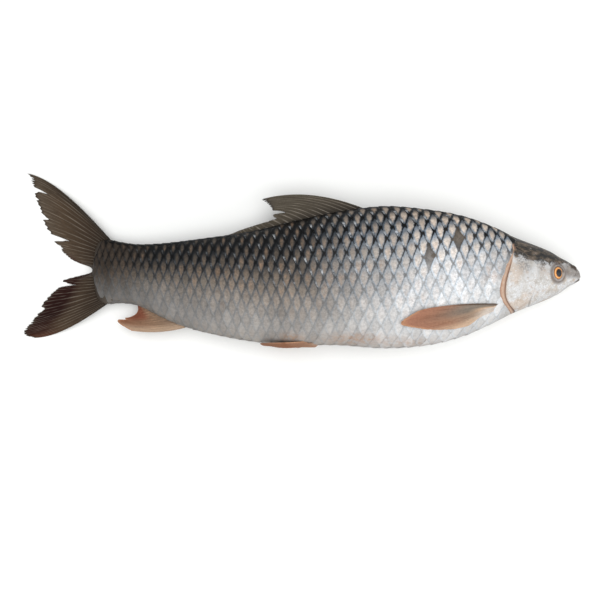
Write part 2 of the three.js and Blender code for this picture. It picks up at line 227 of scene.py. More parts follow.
def through(points, share):
    """A smooth curve through points at a share of its pieces: centripetal Catmull-Rom, whose steps
    are the square roots of the chords, with the end chords carried on past both ends."""
    points = np.asarray(points, float)
    points = np.concatenate([[2 * points[0] - points[1]], points, [2 * points[-1] - points[-2]]])
    place = np.clip(np.asarray(share, float), 0, 1) * (len(points) - 3)
    i = np.minimum(place.astype(int), len(points) - 4)
    u = (place - i)[..., None]
    a, b, c, d = points[i], points[i + 1], points[i + 2], points[i + 3]
    chords = (b - a, c - b, d - c)
    before, here, after = (np.sqrt(np.linalg.norm(e, axis=-1, keepdims=True)) for e in chords)
    leave = ((b - a) / before - (c - a) / (before + here) + (c - b) / here) * here
    reach = ((c - b) / here - (d - b) / (here + after) + (d - c) / after) * here
    square, cube = 3 * (c - b) - 2 * leave - reach, 2 * (b - c) + leave + reach
    return b + u * leave + u**2 * square + u**3 * cube


def far_from(line, behind, up):
    """How far each place (behind, up) is from a line of straight pieces."""
    place = np.stack([behind, up], -1)
    best = np.full(behind.shape, 1e9)
    for a, b in zip(np.array(line[:-1], float), np.array(line[1:], float)):
        way = b - a
        share = np.clip(((place - a) @ way) / (way @ way), 0, 1)
        best = np.minimum(best, np.linalg.norm(place - a - share[..., None] * way, axis=-1))
    return best


def kept_above(points, height):
    """The points, with none of them lower than a height over the surface under the fish."""
    return np.concatenate([points[..., :2], np.maximum(points[..., 2:], height)], -1)


# ---- closed meshes ----


def ring_quads(rows, columns):
    """Faces between rings of points numbered ring by ring, the last point joined to the first."""
    i = np.arange(rows - 1)[:, None] * columns
    j = np.arange(columns)[None, :]
    k = (j + 1) % columns
    return np.stack([i + j, i + k, i + columns + k, i + columns + j], -1).reshape(-1, 4)


def capped(rings):
    """Vertices and faces of rings joined in order, each end closed by a fan from its middle."""
    rows, columns = rings.shape[:2]
    vertices = np.concatenate([rings.reshape(-1, 3), rings[[0, -1]].mean(1)])
    quads = ring_quads(rows, columns)
    middle = np.full((columns, 1), rows * columns)
    first, last = quads[:columns], quads[-columns:]
    near = np.concatenate([first[:, :1], middle, first[:, 1:2]], 1)
    far = np.concatenate([last[:, 2:3], middle + 1, last[:, 3:]], 1)
    return vertices, [quads, near, far]


def with_ends(values):
    """Values on the points of rings, with those of the two middles that close them."""
    return np.append(values.ravel(), [values[0, 0], values[-1, 0]])


def grid_quads(rows, columns):
    """Faces of a grid of points numbered row by row."""
    at = (np.arange(rows - 1)[:, None] * columns + np.arange(columns - 1)).ravel()
    return np.stack([at, at + columns, at + columns + 1, at + 1], -1)


def plate(top, bottom):
    """Vertices and faces of closed plates: two sheets of the same grid, (..., rows, columns, 3),
    joined by a rim of quads all round."""
    rows, columns = top.shape[-3:-1]
    count = rows * columns
    sheets = np.stack([top.reshape(-1, count, 3), bottom.reshape(-1, count, 3)], 1)
    upper = grid_quads(rows, columns)
    a, b = np.arange(rows - 1) * columns, np.arange(columns - 1)
    c, d = a + columns - 1, b + (rows - 1) * columns
    starts = [(a + columns, a), (c, c + columns), (b, b + 1), (d + 1, d)]
    rims = [np.stack([m, n, n + count, m + count], -1) for m, n in starts]
    one = np.concatenate([upper, upper[:, ::-1] + count, *rims])
    start = 2 * count * np.arange(len(sheets))[:, None, None]
    return sheets.reshape(-1, 3), (one + start).reshape(-1, 4)


def facing_out(vertices, faces):
    """Groups of faces as one list, all turned round if the solid that they close has a volume below
    nought: a sixth of the sum of a . (b x c) over their triangles."""
    volume = 0.0
    for group in faces:
        for i in range(1, group.shape[1] - 1):
            a, b, c = (vertices[group[:, corner]] for corner in (0, i, i + 1))
            volume += np.sum(a * np.cross(b, c)) / 6
    return [face for group in faces for face in (group if volume >= 0 else group[:, ::-1]).tolist()]


def put_mesh(
    name, points, faces, material, body="root", node=None, slot=None, uv=None, values=None, sharp=None
):
    """Makes a piece from points in mm, gives it its material, and ties it to the frame."""
    mesh = bpy.data.meshes.new(name)
    mesh.from_pydata((points / MM).tolist(), [], facing_out(points, faces))
    corners = np.zeros(len(mesh.loops), np.int32)
    mesh.loops.foreach_get("vertex_index", corners)
    for layer, places in (uv or {}).items():
        mesh.uv_layers.new(name=layer).data.foreach_set("uv", places[corners].ravel())
    for key, numbers in (values or {}).items():
        data = mesh.attributes.new(key, "FLOAT", "POINT").data
        data.foreach_set("value", np.ascontiguousarray(numbers, np.float32))
    mesh.polygons.foreach_set("use_smooth", np.ones(len(mesh.polygons), bool))
    if sharp:
        mesh.set_sharp_from_angle(angle=math.radians(sharp))
    mesh.materials.append(material)
    mesh.update()
    piece = bpy.data.objects.new(name, mesh)
    bpy.context.scene.collection.objects.link(piece)
    if body:
        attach(piece, body)
        if node:
            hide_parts(node)
    return piece


def put_plates(name, upper, lower, floors, material, layer, places, fields=None, **ties):
    """Makes a piece of closed plates from two sheets, each kept above its floor. The places of its UV
    map and its fields are given on the points of one sheet and hold for both."""

    def on_both(values):
        flat = np.broadcast_to(values, upper.shape[:-1]).reshape(*upper.shape[:-3], 1, -1)
        return np.repeat(flat, 2, axis=-2).reshape(-1)

    vertices, faces = plate(kept_above(upper, floors[0]), kept_above(lower, floors[1]))
    uv = {layer: np.stack([on_both(place) for place in places], -1)}
    values = {key: on_both(value) for key, value in (fields or {}).items()}
    return put_mesh(name, vertices, [faces], material, uv=uv, values=values, **ties)


# ---- colours and nodes ----


def linear(code):
    """An sRGB hex colour as linear red, green, blue and alpha."""
    shares = [int(code[i : i + 2], 16) / 255 for i in (1, 3, 5)]
    return (*[c / 12.92 if c <= 0.04045 else ((c + 0.055) / 1.055) ** 2.4 for c in shares], 1.0)


def node(tree, kind, *values, out=0, stops=(), named=None, **settings):
    """Adds a node. A second word in kind is its operation, or its data type if it has none. Its
    settings come first, and then its open inputs get values, or links where a value is a socket, in
    order and by name. A colour ramp gets its stops of (place, hex colour). Returns the output asked
    for, by name or by place, or all of them if out is None."""
    kind, _, word = kind.partition(" ")
    made = tree.nodes.new("ShaderNode" + kind)
    if word:
        setattr(made, "operation" if hasattr(made, "operation") else "data_type", word)
    for key, value in settings.items():
        setattr(made, key, value)
    given = [*zip([socket for socket in made.inputs if socket.enabled], values)]
    given += [(made.inputs[key], value) for key, value in (named or {}).items()]
    for socket, value in given:
        if isinstance(value, bpy.types.NodeSocket):
            tree.links.new(value, socket)
        else:
            socket.default_value = value
    for i, (place, colour) in enumerate(stops):
        ramp = made.color_ramp.elements
        stop = ramp[i] if i < 2 else ramp.new(place)
        stop.position, stop.color = place, linear(colour)
    if out is None or not made.outputs:
        return made.outputs
    if isinstance(out, str):
        return made.outputs[out]
    return [socket for socket in made.outputs if socket.enabled][out]


def material_tree(name):
    """A new material, and node() bound to its empty tree."""
    material = bpy.data.materials.new(name)
    material.use_nodes = True
    material.node_tree.nodes.clear()
    return material, functools.partial(node, material.node_tree)


def wet(add, colour, roughness, height=None, coat=0.5, coat_roughness=0.15, specular=0.5):
    """Joins a colour, a roughness and a height in mm to a surface wetted with a thin clear film."""
    named = {"Base Color": colour, "Roughness": roughness, "IOR": FILM_IOR, "Specular IOR Level": specular}
    named |= {"Coat Weight": coat, "Coat Roughness": coat_roughness}
    if height is not None:
        named["Normal"] = add("Bump", named={"Height": height, "Strength": 1.0, "Distance": 1 / MM})
    add("OutputMaterial", add("BsdfPrincipled", named=named))


FILM_IOR = 1.4
SMOOTH = {"interpolation_type": "SMOOTHSTEP"}


# ---- places on the fish ----

# All as (mm behind the snout, mm up from the axis), but the scales' front edge the other way round.
LATERAL_LINE = [
    (0, -3), (40, 2), (67.4, 7.6), (110, -3), (152, -13.2), (229.7, -14.7), (277, -9.9), (378, 0.5), (402, 2),
]
CROWN_EDGE = [
    (0, 0.5), (7, 2), (14, 6.2), (23.7, 7.4), (32.1, 7.8), (41.9, 7.8), (50, 9.2), (60.6, 14), (72, 21),
]
COVER_OUTLINE = np.array([
    [0.103, 0.0], [0.105, 0.07], [0.12, 0.116], [0.137, 0.15], [0.15, 0.165], [0.156, 0.1],
    [0.162, 0.03], [0.169, -0.07], [0.17, -0.145], [0.163, -0.205], [0.146, -0.255],
    [0.127, -0.232], [0.1135, -0.18], [0.1065, -0.09],
]) * [LENGTH, DEPTH]
COVER_MIDDLE = np.array([55.0, -5.0])
COVER_RIDGE = [(46, 12), (56, -10), (62, -24)]
COVER_CREASE = [(60, -6), (50, -30)]
COVER_REAR = [
    (59.6, 22.5), (59.3, 14.6), (63.1, 6.4), (66.4, -3), (67.7, -9), (67.9, -16.6), (65.4, -23.3),
    (61.0, -28.0), (55.5, -32.5),
]
MEMBRANE_EDGE = [
    (61.5, 24), (62.3, 15.1), (66.8, 6.5), (70.4, -3), (72.3, -10), (72.7, -15), (70.7, -21.5),
    (66.0, -27.2), (59.4, -33.6),
]
SCALE_FRONT = [
    (-45, 64), (-33, 66), (-28, 69.5), (-22, 71.5), (-16, 72.5), (-11, 72.5), (-2, 70), (10, 65),
    (18, 62), (26, 61.5), (34, 63), (45, 66),
]
MOUTH = [(0.5, -4.6), (1.9, -5.8), (4.2, -7.6), (7.0, -9.8), (9.0, -11.6)]
NOSTRIL = (5.4, 4.5)
PREOPERCLE = [(43.4, 2), (42.6, -5.8), (44.2, -14.5), (45.6, -24.1), (44.5, -29)]
LOST_SCALES = [(127, 10.7), (103.6, 27.8)]
# Tan stains: how deep, where, and how long and high.
STAINS = [(0.55, 185, -53, 22, 5), (0.5, 236, -52, 9, 4), (0.4, 140, -56, 20, 4), (0.35, 78, -3, 5, 5)]


def nostril_distance(behind, up):
    """How far a place is from the nostril."""
    return np.hypot(behind - NOSTRIL[0], up - NOSTRIL[1])


def lost_patch(behind, up):
    """1 where a scale is lost, fading out over 7.5 mm."""
    return np.max([bump(np.hypot(behind - a, up - b), 7.5) for a, b in LOST_SCALES], axis=0)


def crown_share(behind, up):
    """0 on the cheek to 1 on the crown, over 13 mm across the crown's edge."""
    return ease((up - read_off(CROWN_EDGE, behind) + 6) / 13)


# ---- girth: arc lengths round each section, from the belly's midline over the right flank ----

GIRTH_STEP = 2.0
GIRTH_BEHIND = np.arange(0, LENGTH + GIRTH_STEP, GIRTH_STEP)
TURNS = np.linspace(-math.pi / 2 - 0.9, 1.5 * math.pi + 0.9, 960)
ARCS = np.linspace(-30, 340, 741)
RINGS = skin(station(np.minimum(GIRTH_BEHIND, LENGTH))[:, None], TURNS[None, :])
ROUND = np.linalg.norm(np.diff(RINGS, axis=1), axis=-1).cumsum(axis=1)
ROUND = np.concatenate([np.zeros((len(ROUND), 1)), ROUND], axis=1)
ROUND -= np.array([[np.interp(-math.pi / 2, TURNS, row)] for row in ROUND])
TURN_OF_ARC = np.array([np.interp(ARCS, row, TURNS) for row in ROUND])


def look_up(table, ticks, behind, across):
    """The table's value at a place between its rows and columns, weighed by nearness."""
    i = np.clip(behind / GIRTH_STEP, 0, len(table) - 1.001)
    j = np.clip((across - ticks[0]) / (ticks[1] - ticks[0]), 0, len(ticks) - 1.001)
    a, b = i.astype(int), j.astype(int)
    u, v = i - a, j - b
    near = mix(table[a, b], table[a, b + 1], v)
    return mix(near, mix(table[a + 1, b], table[a + 1, b + 1], v), u)


def arc_at(behind, turn):
    """The arc length at an angle of the section some mm behind the snout."""
    return look_up(ROUND, TURNS, *np.broadcast_arrays(np.asarray(behind, float), turn))


def turn_of_arc(behind, arc):
    """The angle at an arc length of the section some mm behind the snout."""
    return look_up(TURN_OF_ARC, ARCS, *np.broadcast_arrays(np.asarray(behind, float), arc))


def lateral_arc(behind, side):
    """The arc length to the lateral line of the right (1) or left (-1) flank."""
    return arc_at(behind, turn_at(station(behind), read_off(LATERAL_LINE, behind), side))


def rise_at(behind, arc):
    """How high a place is on its flank: -1 on the belly, 0 on the lateral line and 1 on the back."""
    back = arc_at(behind, math.pi / 2)
    belly = np.where(arc < back, 0.0, arc_at(behind, 1.5 * math.pi))
    middle = np.where(arc < back, lateral_arc(behind, 1), lateral_arc(behind, -1))
    above = (arc - middle) / np.where(np.abs(back - middle) < 1e-6, 1e-6, back - middle)
    below = (arc - middle) / np.where(np.abs(belly - middle) < 1e-6, 1e-6, belly - middle)
    return np.clip(np.where(above > 0, above, -below), -1, 1)


# ---- sizes and colours that a user may change ----


def length(name, description, default):
    """A length that is given in mm and kept in metres."""
    return bpy.props.FloatProperty(
        name=name, description=description, default=default / MM, subtype="DISTANCE", unit="LENGTH")


def colour(name, description, default):
    """A colour that is given as sRGB hex and kept linear."""
    return bpy.props.FloatVectorProperty(
        name=name, description=description, default=linear(default), size=4, subtype="COLOR")


class CarpSizes(bpy.types.PropertyGroup):
    """Sizes of the fish's parts and of its floor"""

    scale_lift: length("Scale lift", "How far the free edge of a scale stands off the skin", 0.62)
    scale_thickness: length("Scale thickness", "Thickness of one scale", 0.26)
    cover_lift: length("Gill cover lift", "How far the gill cover stands off the cheek", 0.8)
    ray_relief: length("Ray relief", "How far fin rays stand out of their web", 0.32)
    floor_size: length("Floor size", "Side of the studio floor", 9000)


class CarpColours(bpy.types.PropertyGroup):
    """Colours that may be changed"""

    iris: colour("Iris", "Colour of the ring round the pupil", "#f0a85a")
    membrane: colour("Gill membrane", "Colour of the soft strip behind the gill cover", "#a0755f")
    pectoral: colour("Pectoral fins", "Colour of the web of the pectoral fins", "#a87a60")
    floor: colour("Floor", "Colour of the studio floor", "#fafaf8")


# ---- materials ----


def flank_colours_and_light_falloff(add, tail_stops, head_stops, rise01, along):
    """Two ramps from belly to back, for the tail end and the head end, blended along the body. The head end
    is paler than the tail end partly in the fish's own colour and partly as painted light: the fall of the
    light from the head end towards the tail.
    """
    tail, head = (add("ValToRGB", rise01, stops=stops) for stops in (tail_stops, head_stops))
    return add("Mix RGBA", add("MapRange", along, 0.6, 0.26, **SMOOTH), tail, head)


def scale_material():
    """Overlapping carp scales, grown from bony plates and wet: each has a pale pointed spindle, a blue-grey
    top and rim, a painted highlight along its lower rear edge and a painted shadow on its front, where the
    scale before it throws shade. The dark lines round each scale are partly its own dark edge and partly that
    painted shade.
    Dusk gathers on the back and fades out towards the belly."""
    material, add = material_tree("carp_scales_wet")
    back_along, up_across = add("SeparateXYZ", add("UVMap", uv_map="scale"), out=None)[:2]
    rise, along, chance, hue, bare, tip, stain = (
        add("Attribute", out="Fac", attribute_name=key)
        for key in ("rise", "along", "chance", "hue", "bare", "tip", "stain"))
    rise01 = add("MapRange", rise, -1, 1)
    spots = add("TexCoord", out="Object")
    wide = add("TexNoise", spots, MM / 24, 3)
    grain = add("TexNoise", spots, MM / 2.4, 5, 0.8)
    fleck = add("TexNoise", spots, MM / 3.4, 3, 0.6)
    calm = add("MapRange", rise, -0.75, -0.15, 0.4, 1)

    # The spindle is where 2.1 |along| + |across| to the power 1.65 is small. It is narrower on the
    # back, its outline is ragged, and its front end is cut short by the shade.
    ragged = add("Math MULTIPLY", add("Math SUBTRACT", fleck, 0.5), 0.75)
    ragged = add("Math MULTIPLY", ragged, add("MapRange", rise, -0.75, -0.15, 0.45, 1))
    plain = add("Math MULTIPLY", add("Math ABSOLUTE", back_along), 2.1)
    plain = add("Math ADD", plain, add("Math POWER", add("Math ABSOLUTE", up_across), 1.65))
    plain = add("Math ADD", plain, ragged)
    narrow = add("MapRange", rise, 0, 0.7, 0, 0.3, **SMOOTH)
    narrow = add("Math MULTIPLY", narrow, add("MapRange", along, 0.3, 0.55, 0.4, 1))
    spindle = add("Math ADD", plain, narrow)
    # front: painted shade over each scale's front, in the shadow of the scale before it; shaded adds that
    # painted shade to the spindle's measure.
    front = add("MapRange", back_along, -0.02, -0.3, 0, 0.22, **SMOOTH)
    shaded = add("Math ADD", add("Math MULTIPLY_ADD", narrow, 0.3, plain), front)

    centre = flank_colours_and_light_falloff(
        add,
        [(0.0, "#a59c93"), (0.2, "#a19c97"), (0.4, "#958c83"), (0.5, "#82786d"), (0.6, "#675d53"),
         (0.75, "#564e46"), (0.9, "#554d45"), (1.0, "#332e29")],
        [(0.0, "#d6d2ce"), (0.25, "#e8e7e6"), (0.5, "#e6e5e5"), (0.68, "#e3d9cf"), (0.9, "#d6c4b2"),
         (1.0, "#a08a78")],
        rise01, along)
    edge = flank_colours_and_light_falloff(
        add,
        [(0.0, "#9c968d"), (0.2, "#95918c"), (0.4, "#7d7770"), (0.52, "#3f3c39"), (0.66, "#121315"),
         (1.0, "#050505")],
        [(0.0, "#c6bfb8"), (0.25, "#dad6d1"), (0.5, "#b5b0ab"), (0.64, "#605d5b"), (0.78, "#171819"),
         (1.0, "#090909")],
        rise01, along)
    blue = flank_colours_and_light_falloff(
        add,
        [(0.0, "#a4a2a0"), (0.3, "#8b8c8d"), (0.5, "#5e6063"), (0.62, "#36393d"), (0.78, "#1f2124"),
         (1.0, "#0a0b0c")],
        [(0.0, "#dddfe2"), (0.3, "#dde4ea"), (0.58, "#bfccd8"), (0.78, "#7a8795"), (0.9, "#3b434b"),
         (1.0, "#131517")],
        rise01, along)
    warm = add("Math MULTIPLY", add("MapRange", fleck, 0.42, 0.66, 0, 0.42), hue)
    warm = add("Math MULTIPLY", warm, add("MapRange", rise, -0.45, 0.1, 0.12, 1))
    edge = add("Mix RGBA", bare, edge, linear("#756b61"))

    upper = add("MapRange", up_across, -0.1, 0.6, **SMOOTH)
    upper = add("Math MULTIPLY", upper, add("MapRange", rise, -0.2, 0.5, 0.25, 0.92))
    cool = add("Math MAXIMUM", add("MapRange", spindle, 0.42, 0.85, **SMOOTH), upper)
    # The dark line round each scale: partly its own dark edge and partly painted shade, as shaded holds the
    # painted front shade.
    line = add("MapRange", shaded, 0.74, 0.98, **SMOOTH)
    line = add("Math MULTIPLY", line, add("MapRange", rise, -0.1, 0.42, 0.6, 1))
    # lit: a painted highlight in pale blue-white along each scale's lower rear edge, as strong as the tip
    # field allows.
    lit = add("Math MULTIPLY", add("MapRange", grain, 0.36, 0.56), tip)
    for value, start, end in ((back_along, 0.05, 0.2), (up_across, -0.22, -0.5), (spindle, 0.5, 0.8)):
        lit = add("Math MULTIPLY", lit, add("MapRange", value, start, end, **SMOOTH))
    stalk = add("MapRange", along, 0.87, 0.965, 0, 0.75)
    stalk = add("Math MULTIPLY", stalk, add("MapRange", rise, -0.7, 0, 0.1, 1))
    stalk = add("Math MULTIPLY", stalk, add("MapRange", plain, 0.95, 0.6, 0.05, 1))
    body = centre
    for share, colour in (
        (warm, linear("#bb9576")), (cool, blue), (line, edge), (lit, linear("#f0f4f8")),
        (stalk, linear("#5d4f43")),
    ):
        body = add("Mix RGBA", share, body, colour)

    tone = add("Math MULTIPLY_ADD", add("MapRange", grain, 0.38, 0.62, -0.26, 0.22), calm, 1)
    # The first along factor darkens the tail end, partly as painted falloff of the light from the head end.
    for value, ends in (
        (chance, (0, 1, 0.8, 1.06)), (wide, (0.25, 0.75, 0.86, 1.05)), (along, (0.7, 0.97, 1, 0.42)),
        (along, (0.15, 0.24, 0.84, 1)),
    ):
        tone = add("Math MULTIPLY", tone, add("MapRange", value, *ends))
    body = add("VectorMath SCALE", body, tone)
    stain = add("Math MULTIPLY", stain, add("MapRange", fleck, 0.4, 0.6, 0.2, 1))
    body = add("Mix RGBA", stain, body, linear("#a9794f"))
    growth_rings = add("Math SINE", add("Math MULTIPLY", spindle, 34))
    height = add("Math MULTIPLY", growth_rings, 0.015)
    height = add("Math MULTIPLY_ADD", grain, add("Math MULTIPLY", calm, 0.35), height)
    rough = add("MapRange", grain, 0.25, 0.75, 0.32, 0.6)
    wet(add, body, rough, height, coat=0.12, coat_roughness=0.16, specular=0.22)
    return material


def head_noise(add):
    """Grit of 1.3 mm and blotches of 7 mm, drawn a little coarser than real so that they show."""
    spots = add("TexCoord", out="Object")
    return spots, add("TexNoise", spots, MM / 1.3, 5, 0.7), add("TexNoise", spots, MM / 7, 4, 0.6)


def head_colours(add, spots, grain, blotch):
    """Silver-white cheek with tan blotches and slate grit, under a crown streaked brown and black
    whose lower edge is ragged."""
    cheek = add("ValToRGB", blotch, stops=[
        (0.3, "#bdb7b0"), (0.42, "#cfcbc6"), (0.55, "#dcdcdc"), (0.7, "#cfbdac")])
    tan = add("TexNoise", spots, MM / 15, 3, 0.6)
    drawn = add("Mapping", spots, named={"Scale": (0.3, 1, 1)})
    streak = add("TexNoise", drawn, MM / 3.2, 4, 0.65)
    crown = add("ValToRGB", streak, stops=[
        (0.32, "#1d1e20"), (0.46, "#37332f"), (0.56, "#5f5346"), (0.68, "#85766a")])
    mask = add("Attribute", out="Fac", attribute_name="crown")
    for noise, depth in ((blotch, 1.9), (streak, 1.2), (grain, 1.3)):
        mask = add("Math MULTIPLY_ADD", add("Math SUBTRACT", noise, 0.5), depth, mask)
    for share, colour in (
        (add("MapRange", tan, 0.5, 0.64, 0, 0.6, **SMOOTH), linear("#cfb9a4")),
        (add("MapRange", grain, 0.56, 0.68, 0, 0.7), linear("#e6edf4")),
        (add("MapRange", mask, 0.22, 0.5, 0, 0.55, **SMOOTH), linear("#7b8087")),
        (add("MapRange", mask, 0.44, 0.68, **SMOOTH), crown),
    ):
        cheek = add("Mix RGBA", share, cheek, colour)
    return cheek


def skin_material():
    """Wet bare skin: silver-white and mottled on the cheeks, dark slate on the crown, and the dusky
    scale pockets of the trunk, which show as dark lines between the scales."""
    material, add = material_tree("carp_skin_wet")
    rise, along, muzzle, socket, smudge, dark, head, bare = (
        add("Attribute", out="Fac", attribute_name=key)
        for key in ("rise", "along", "muzzle", "socket", "smudge", "dark", "head", "bare"))
    spots, grain, blotch = head_noise(add)
    pocket = flank_colours_and_light_falloff(
        add,
        [(0.0, "#857b70"), (0.3, "#5f5a55"), (0.5, "#35312d"), (0.7, "#121110"), (1.0, "#090909")],
        [(0.0, "#d3cdc7"), (0.3, "#bdb7b1"), (0.55, "#6d6965"), (0.75, "#262423"), (1.0, "#0f0f0f")],
        add("MapRange", rise, -1, 1), along)
    face = head_colours(add, spots, grain, blotch)
    for share, colour in (
        (add("Math MULTIPLY", muzzle, add("MapRange", blotch, 0.38, 0.6, 0.45, 1)), "#4b3828"),
        (add("Math MULTIPLY", socket, add("MapRange", grain, 0.3, 0.6, 0.7, 1)), "#553f2f"),
        (add("Math MULTIPLY", smudge, add("MapRange", grain, 0.4, 0.6)), "#8b8783"),
        # dark: painted shade in the mouth slit, the nostril pit, the cheek crease and the groove round the
        # eye, with the lips' own dusky colour round the slit.
        (dark, "#3d2c20"),
    ):
        face = add("Mix RGBA", share, face, linear(colour))
    for share, colour in ((bare, "#756b61"), (add("MapRange", along, 0.93, 0.985), "#3f352b")):
        pocket = add("Mix RGBA", share, pocket, linear(colour))
    tone = add("MapRange", grain, 0.3, 0.7, 0.7, 1.14)
    tone = add("Math MULTIPLY", tone, add("MapRange", along, 0.15, 0.17, 1, 0.82))
    pocket, face = (add("VectorMath SCALE", colour, tone) for colour in (pocket, face))
    height = add("Math MULTIPLY_ADD", blotch, 0.45, add("Math MULTIPLY", grain, 0.22))
    rough = add("MapRange", grain, 0.25, 0.75, 0.28, 0.5)
    wet(add, add("Mix RGBA", head, pocket, face), rough, height, coat=0.3, coat_roughness=0.2, specular=0.4)
    return material


def cover_material():
    """Gill cover: thin bone under wet silver skin, white with faint creases and a tan rim."""
    material, add = material_tree("gill_cover_bone_wet")
    smudge, rim = (add("Attribute", out="Fac", attribute_name=key) for key in ("smudge", "rim"))
    spots, grain, blotch = head_noise(add)
    base = head_colours(add, spots, grain, blotch)
    smudge = add("Math MULTIPLY", smudge, add("MapRange", grain, 0.42, 0.54))
    for share, colour in ((smudge, "#7f7b78"), (rim, "#b99a80")):
        base = add("Mix RGBA", share, base, linear(colour))
    base = add("VectorMath SCALE", base, add("MapRange", grain, 0.3, 0.7, 0.74, 1.12))
    height = add("Math MULTIPLY_ADD", blotch, 0.5, add("Math MULTIPLY", grain, 0.2))
    rough = add("MapRange", grain, 0.25, 0.75, 0.25, 0.45)
    wet(add, base, rough, height, coat=0.35, coat_roughness=0.2, specular=0.4)
    return material


def membrane_material(pick):
    """Gill membrane: soft raw skin, tan to blood-brown, with a painted shadow of the gill cover's edge along
    the side against it.
    """
    material, add = material_tree("gill_membrane_raw")
    down, across = add("SeparateXYZ", add("UVMap", uv_map="strip"), out=None)[:2]
    grain = add("TexNoise", add("TexCoord", out="Object"), MM / 2.2, 4)
    # Painted shadow: the dark first stops of the ramp stand for the shade under the gill cover's edge, and
    # this shift widens it towards the top.
    across = add("Math SUBTRACT", across, add("MapRange", down, 0.05, 0.55, 0.22, 0))
    tint = add("ValToRGB", across, stops=[
        (0.0, "#2e231c"), (0.2, "#4a372b"), (0.34, "#94755f"), (0.58, "#cbb19c"), (0.84, "#bd9b83"),
        (1.0, "#86644f")])
    tint = add("Mix RGBA", add("MapRange", grain, 0.3, 0.7, 0, 0.45), tint, tuple(pick))
    wet(add, tint, add("MapRange", grain, 0.2, 0.8, 0.3, 0.5), add("Math MULTIPLY", grain, 0.3))
    return material


def eye_material(pick):
    """The eyeball: a blue-black pupil in a gold iris under a clear wet cornea, with a grey rim."""
    material, add = material_tree("eye_gold_iris_wet")
    grain = add("TexNoise", add("TexCoord", out="Object"), MM / 0.9, 3)
    waver = add("Math MULTIPLY", add("Math SUBTRACT", grain, 0.5), 0.1)
    away = add("Math ADD", add("Attribute", out="Fac", attribute_name="away"), waver)
    rings = add("ValToRGB", away, stops=[
        (0.0, "#0e1216"), (0.41, "#12171c"), (0.445, "#7a3f18"), (0.48, "#e08f42"), (0.56, "#f0b873"),
        (0.63, "#cf7b35"), (0.675, "#54402f"), (0.715, "#9f978d"), (0.8, "#7f7265"), (1.0, "#584636")])
    tint = add("Mix RGBA", add("MapRange", grain, 0.35, 0.75, 0, 0.35), rings, tuple(pick))
    ring = add("Math MULTIPLY", add("MapRange", away, 0.42, 0.46), add("MapRange", away, 0.67, 0.62))
    tint = add("Mix RGBA", ring, rings, tint)
    wet(add, tint, add("MapRange", grain, 0.2, 0.8, 0.15, 0.3), coat=1.0, coat_roughness=0.03)
    return material


def fin_material(name, web, rays, count, edge=None, patch=None, streaks=0.5):
    """A fin: soft web stretched over bony rays that fork once and are jointed like bamboo. The web's
    colour runs along each ray, and the rays are paler."""
    material, add = material_tree(name)
    across, outward = add("SeparateXYZ", add("UVMap", uv_map="fan"), out=None)[:2]
    ridge = add("Attribute", out="Fac", attribute_name="ridge")
    grain = add("TexNoise", add("TexCoord", out="Object"), MM / 1.6, 4, 0.6)
    along_rays = add(
        "CombineXYZ", add("Math MULTIPLY", across, count * 1.7), add("Math MULTIPLY", outward, 2.2))
    streak = add("TexNoise", along_rays, 1.6, 3)
    base = add("ValToRGB", outward, stops=web)
    if patch:
        tint, share = (add("Attribute", out="Fac", attribute_name=key) for key in ("tint", "tint_share"))
        base = add("Mix RGBA", share, base, add("ValToRGB", tint, stops=patch))
    lit = add("MapRange", ridge, 0.45, 0.95, 0, streaks)
    lit = add("Math MULTIPLY", lit, add("MapRange", streak, 0.35, 0.62))
    base = add("Mix RGBA", lit, base, linear(rays))
    if edge:
        base = add("Mix RGBA", add("Attribute", out="Fac", attribute_name="rim"), base, linear(edge))
    tone = add("MapRange", grain, 0.25, 0.75, 0.85, 1.15)
    tone = add("Math MULTIPLY", tone, add("MapRange", streak, 0.25, 0.75, 0.78, 1.22))
    base = add("VectorMath SCALE", base, tone)
    rough = add("MapRange", grain, 0.25, 0.75, 0.38, 0.6)
    wet(add, base, rough, add("Math MULTIPLY", grain, 0.15), coat=0.1, coat_roughness=0.25, specular=0.2)
    return material


def floor_material(pick):
    """Studio floor: matt painted board, so it throws a soft even light back and no reflections."""
    material, add = material_tree("studio_board_matt")
    grain = add("TexNoise", add("TexCoord", out="Object"), 0.6, 2)
    tint = add("Mix RGBA", add("MapRange", grain, 0.3, 0.7, 0, 0.06), tuple(pick), linear("#d8d8d6"))
    named = {"Base Color": tint, "Roughness": 0.9, "Specular IOR Level": 0.1}
    add("OutputMaterial", add("BsdfPrincipled", named=named))
    return material


# ---- the skin ----

HEAD_END = 78.0
SOCKET_DEEP = 9  # an eye's socket reaches no further than this from the eye, out of the face


def outline_share(behind, up):
    """How far a place is from the gill cover's middle, as a share of its outline in that direction."""
    way = np.stack([behind, up], -1) - COVER_MIDDLE
    outline = COVER_OUTLINE - COVER_MIDDLE
    turn = np.arctan2(outline[:, 1], outline[:, 0])
    order = np.argsort(turn)
    reach = np.linalg.norm(outline, axis=1)[order]
    found = np.interp(np.arctan2(way[..., 1], way[..., 0]), turn[order], reach, period=2 * math.pi)
    return np.linalg.norm(way, axis=-1) / found


def eye_frame(side):
    """Middle of an eyeball and its axes: forwards along the face, up the face, and out of it."""
    low, high = (np.array(c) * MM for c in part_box("right_eye" if side > 0 else "left_eye"))
    out = unit(np.array([0.55, 0.05, side]))
    up = unit(np.array([0.0, 1.0, 0.0]) - out * out[1])
    inward = 1.1 if side > 0 else 0.35
    return (low + high) / 2 + [-3.0, -0.9, inward], np.cross(up, out) * side, up, out


def mouth_distance(points, behind, up, turn):
    """How far the skin is from the mouth slit, which arches up by 1.8 mm on the snout's midline and
    runs across the snout's tip and down each cheek, short of the chin."""
    off_middle = points[..., 2] - section(station(behind))[2]
    arched = far_from(MOUTH, behind, up - 1.8 * bump(off_middle, 3.4))
    share = np.maximum(ease((np.abs(np.cos(turn)) - 0.42) / 0.2), ease((1.3 - behind) / 0.7))
    return arched + 3 * (1 - share)


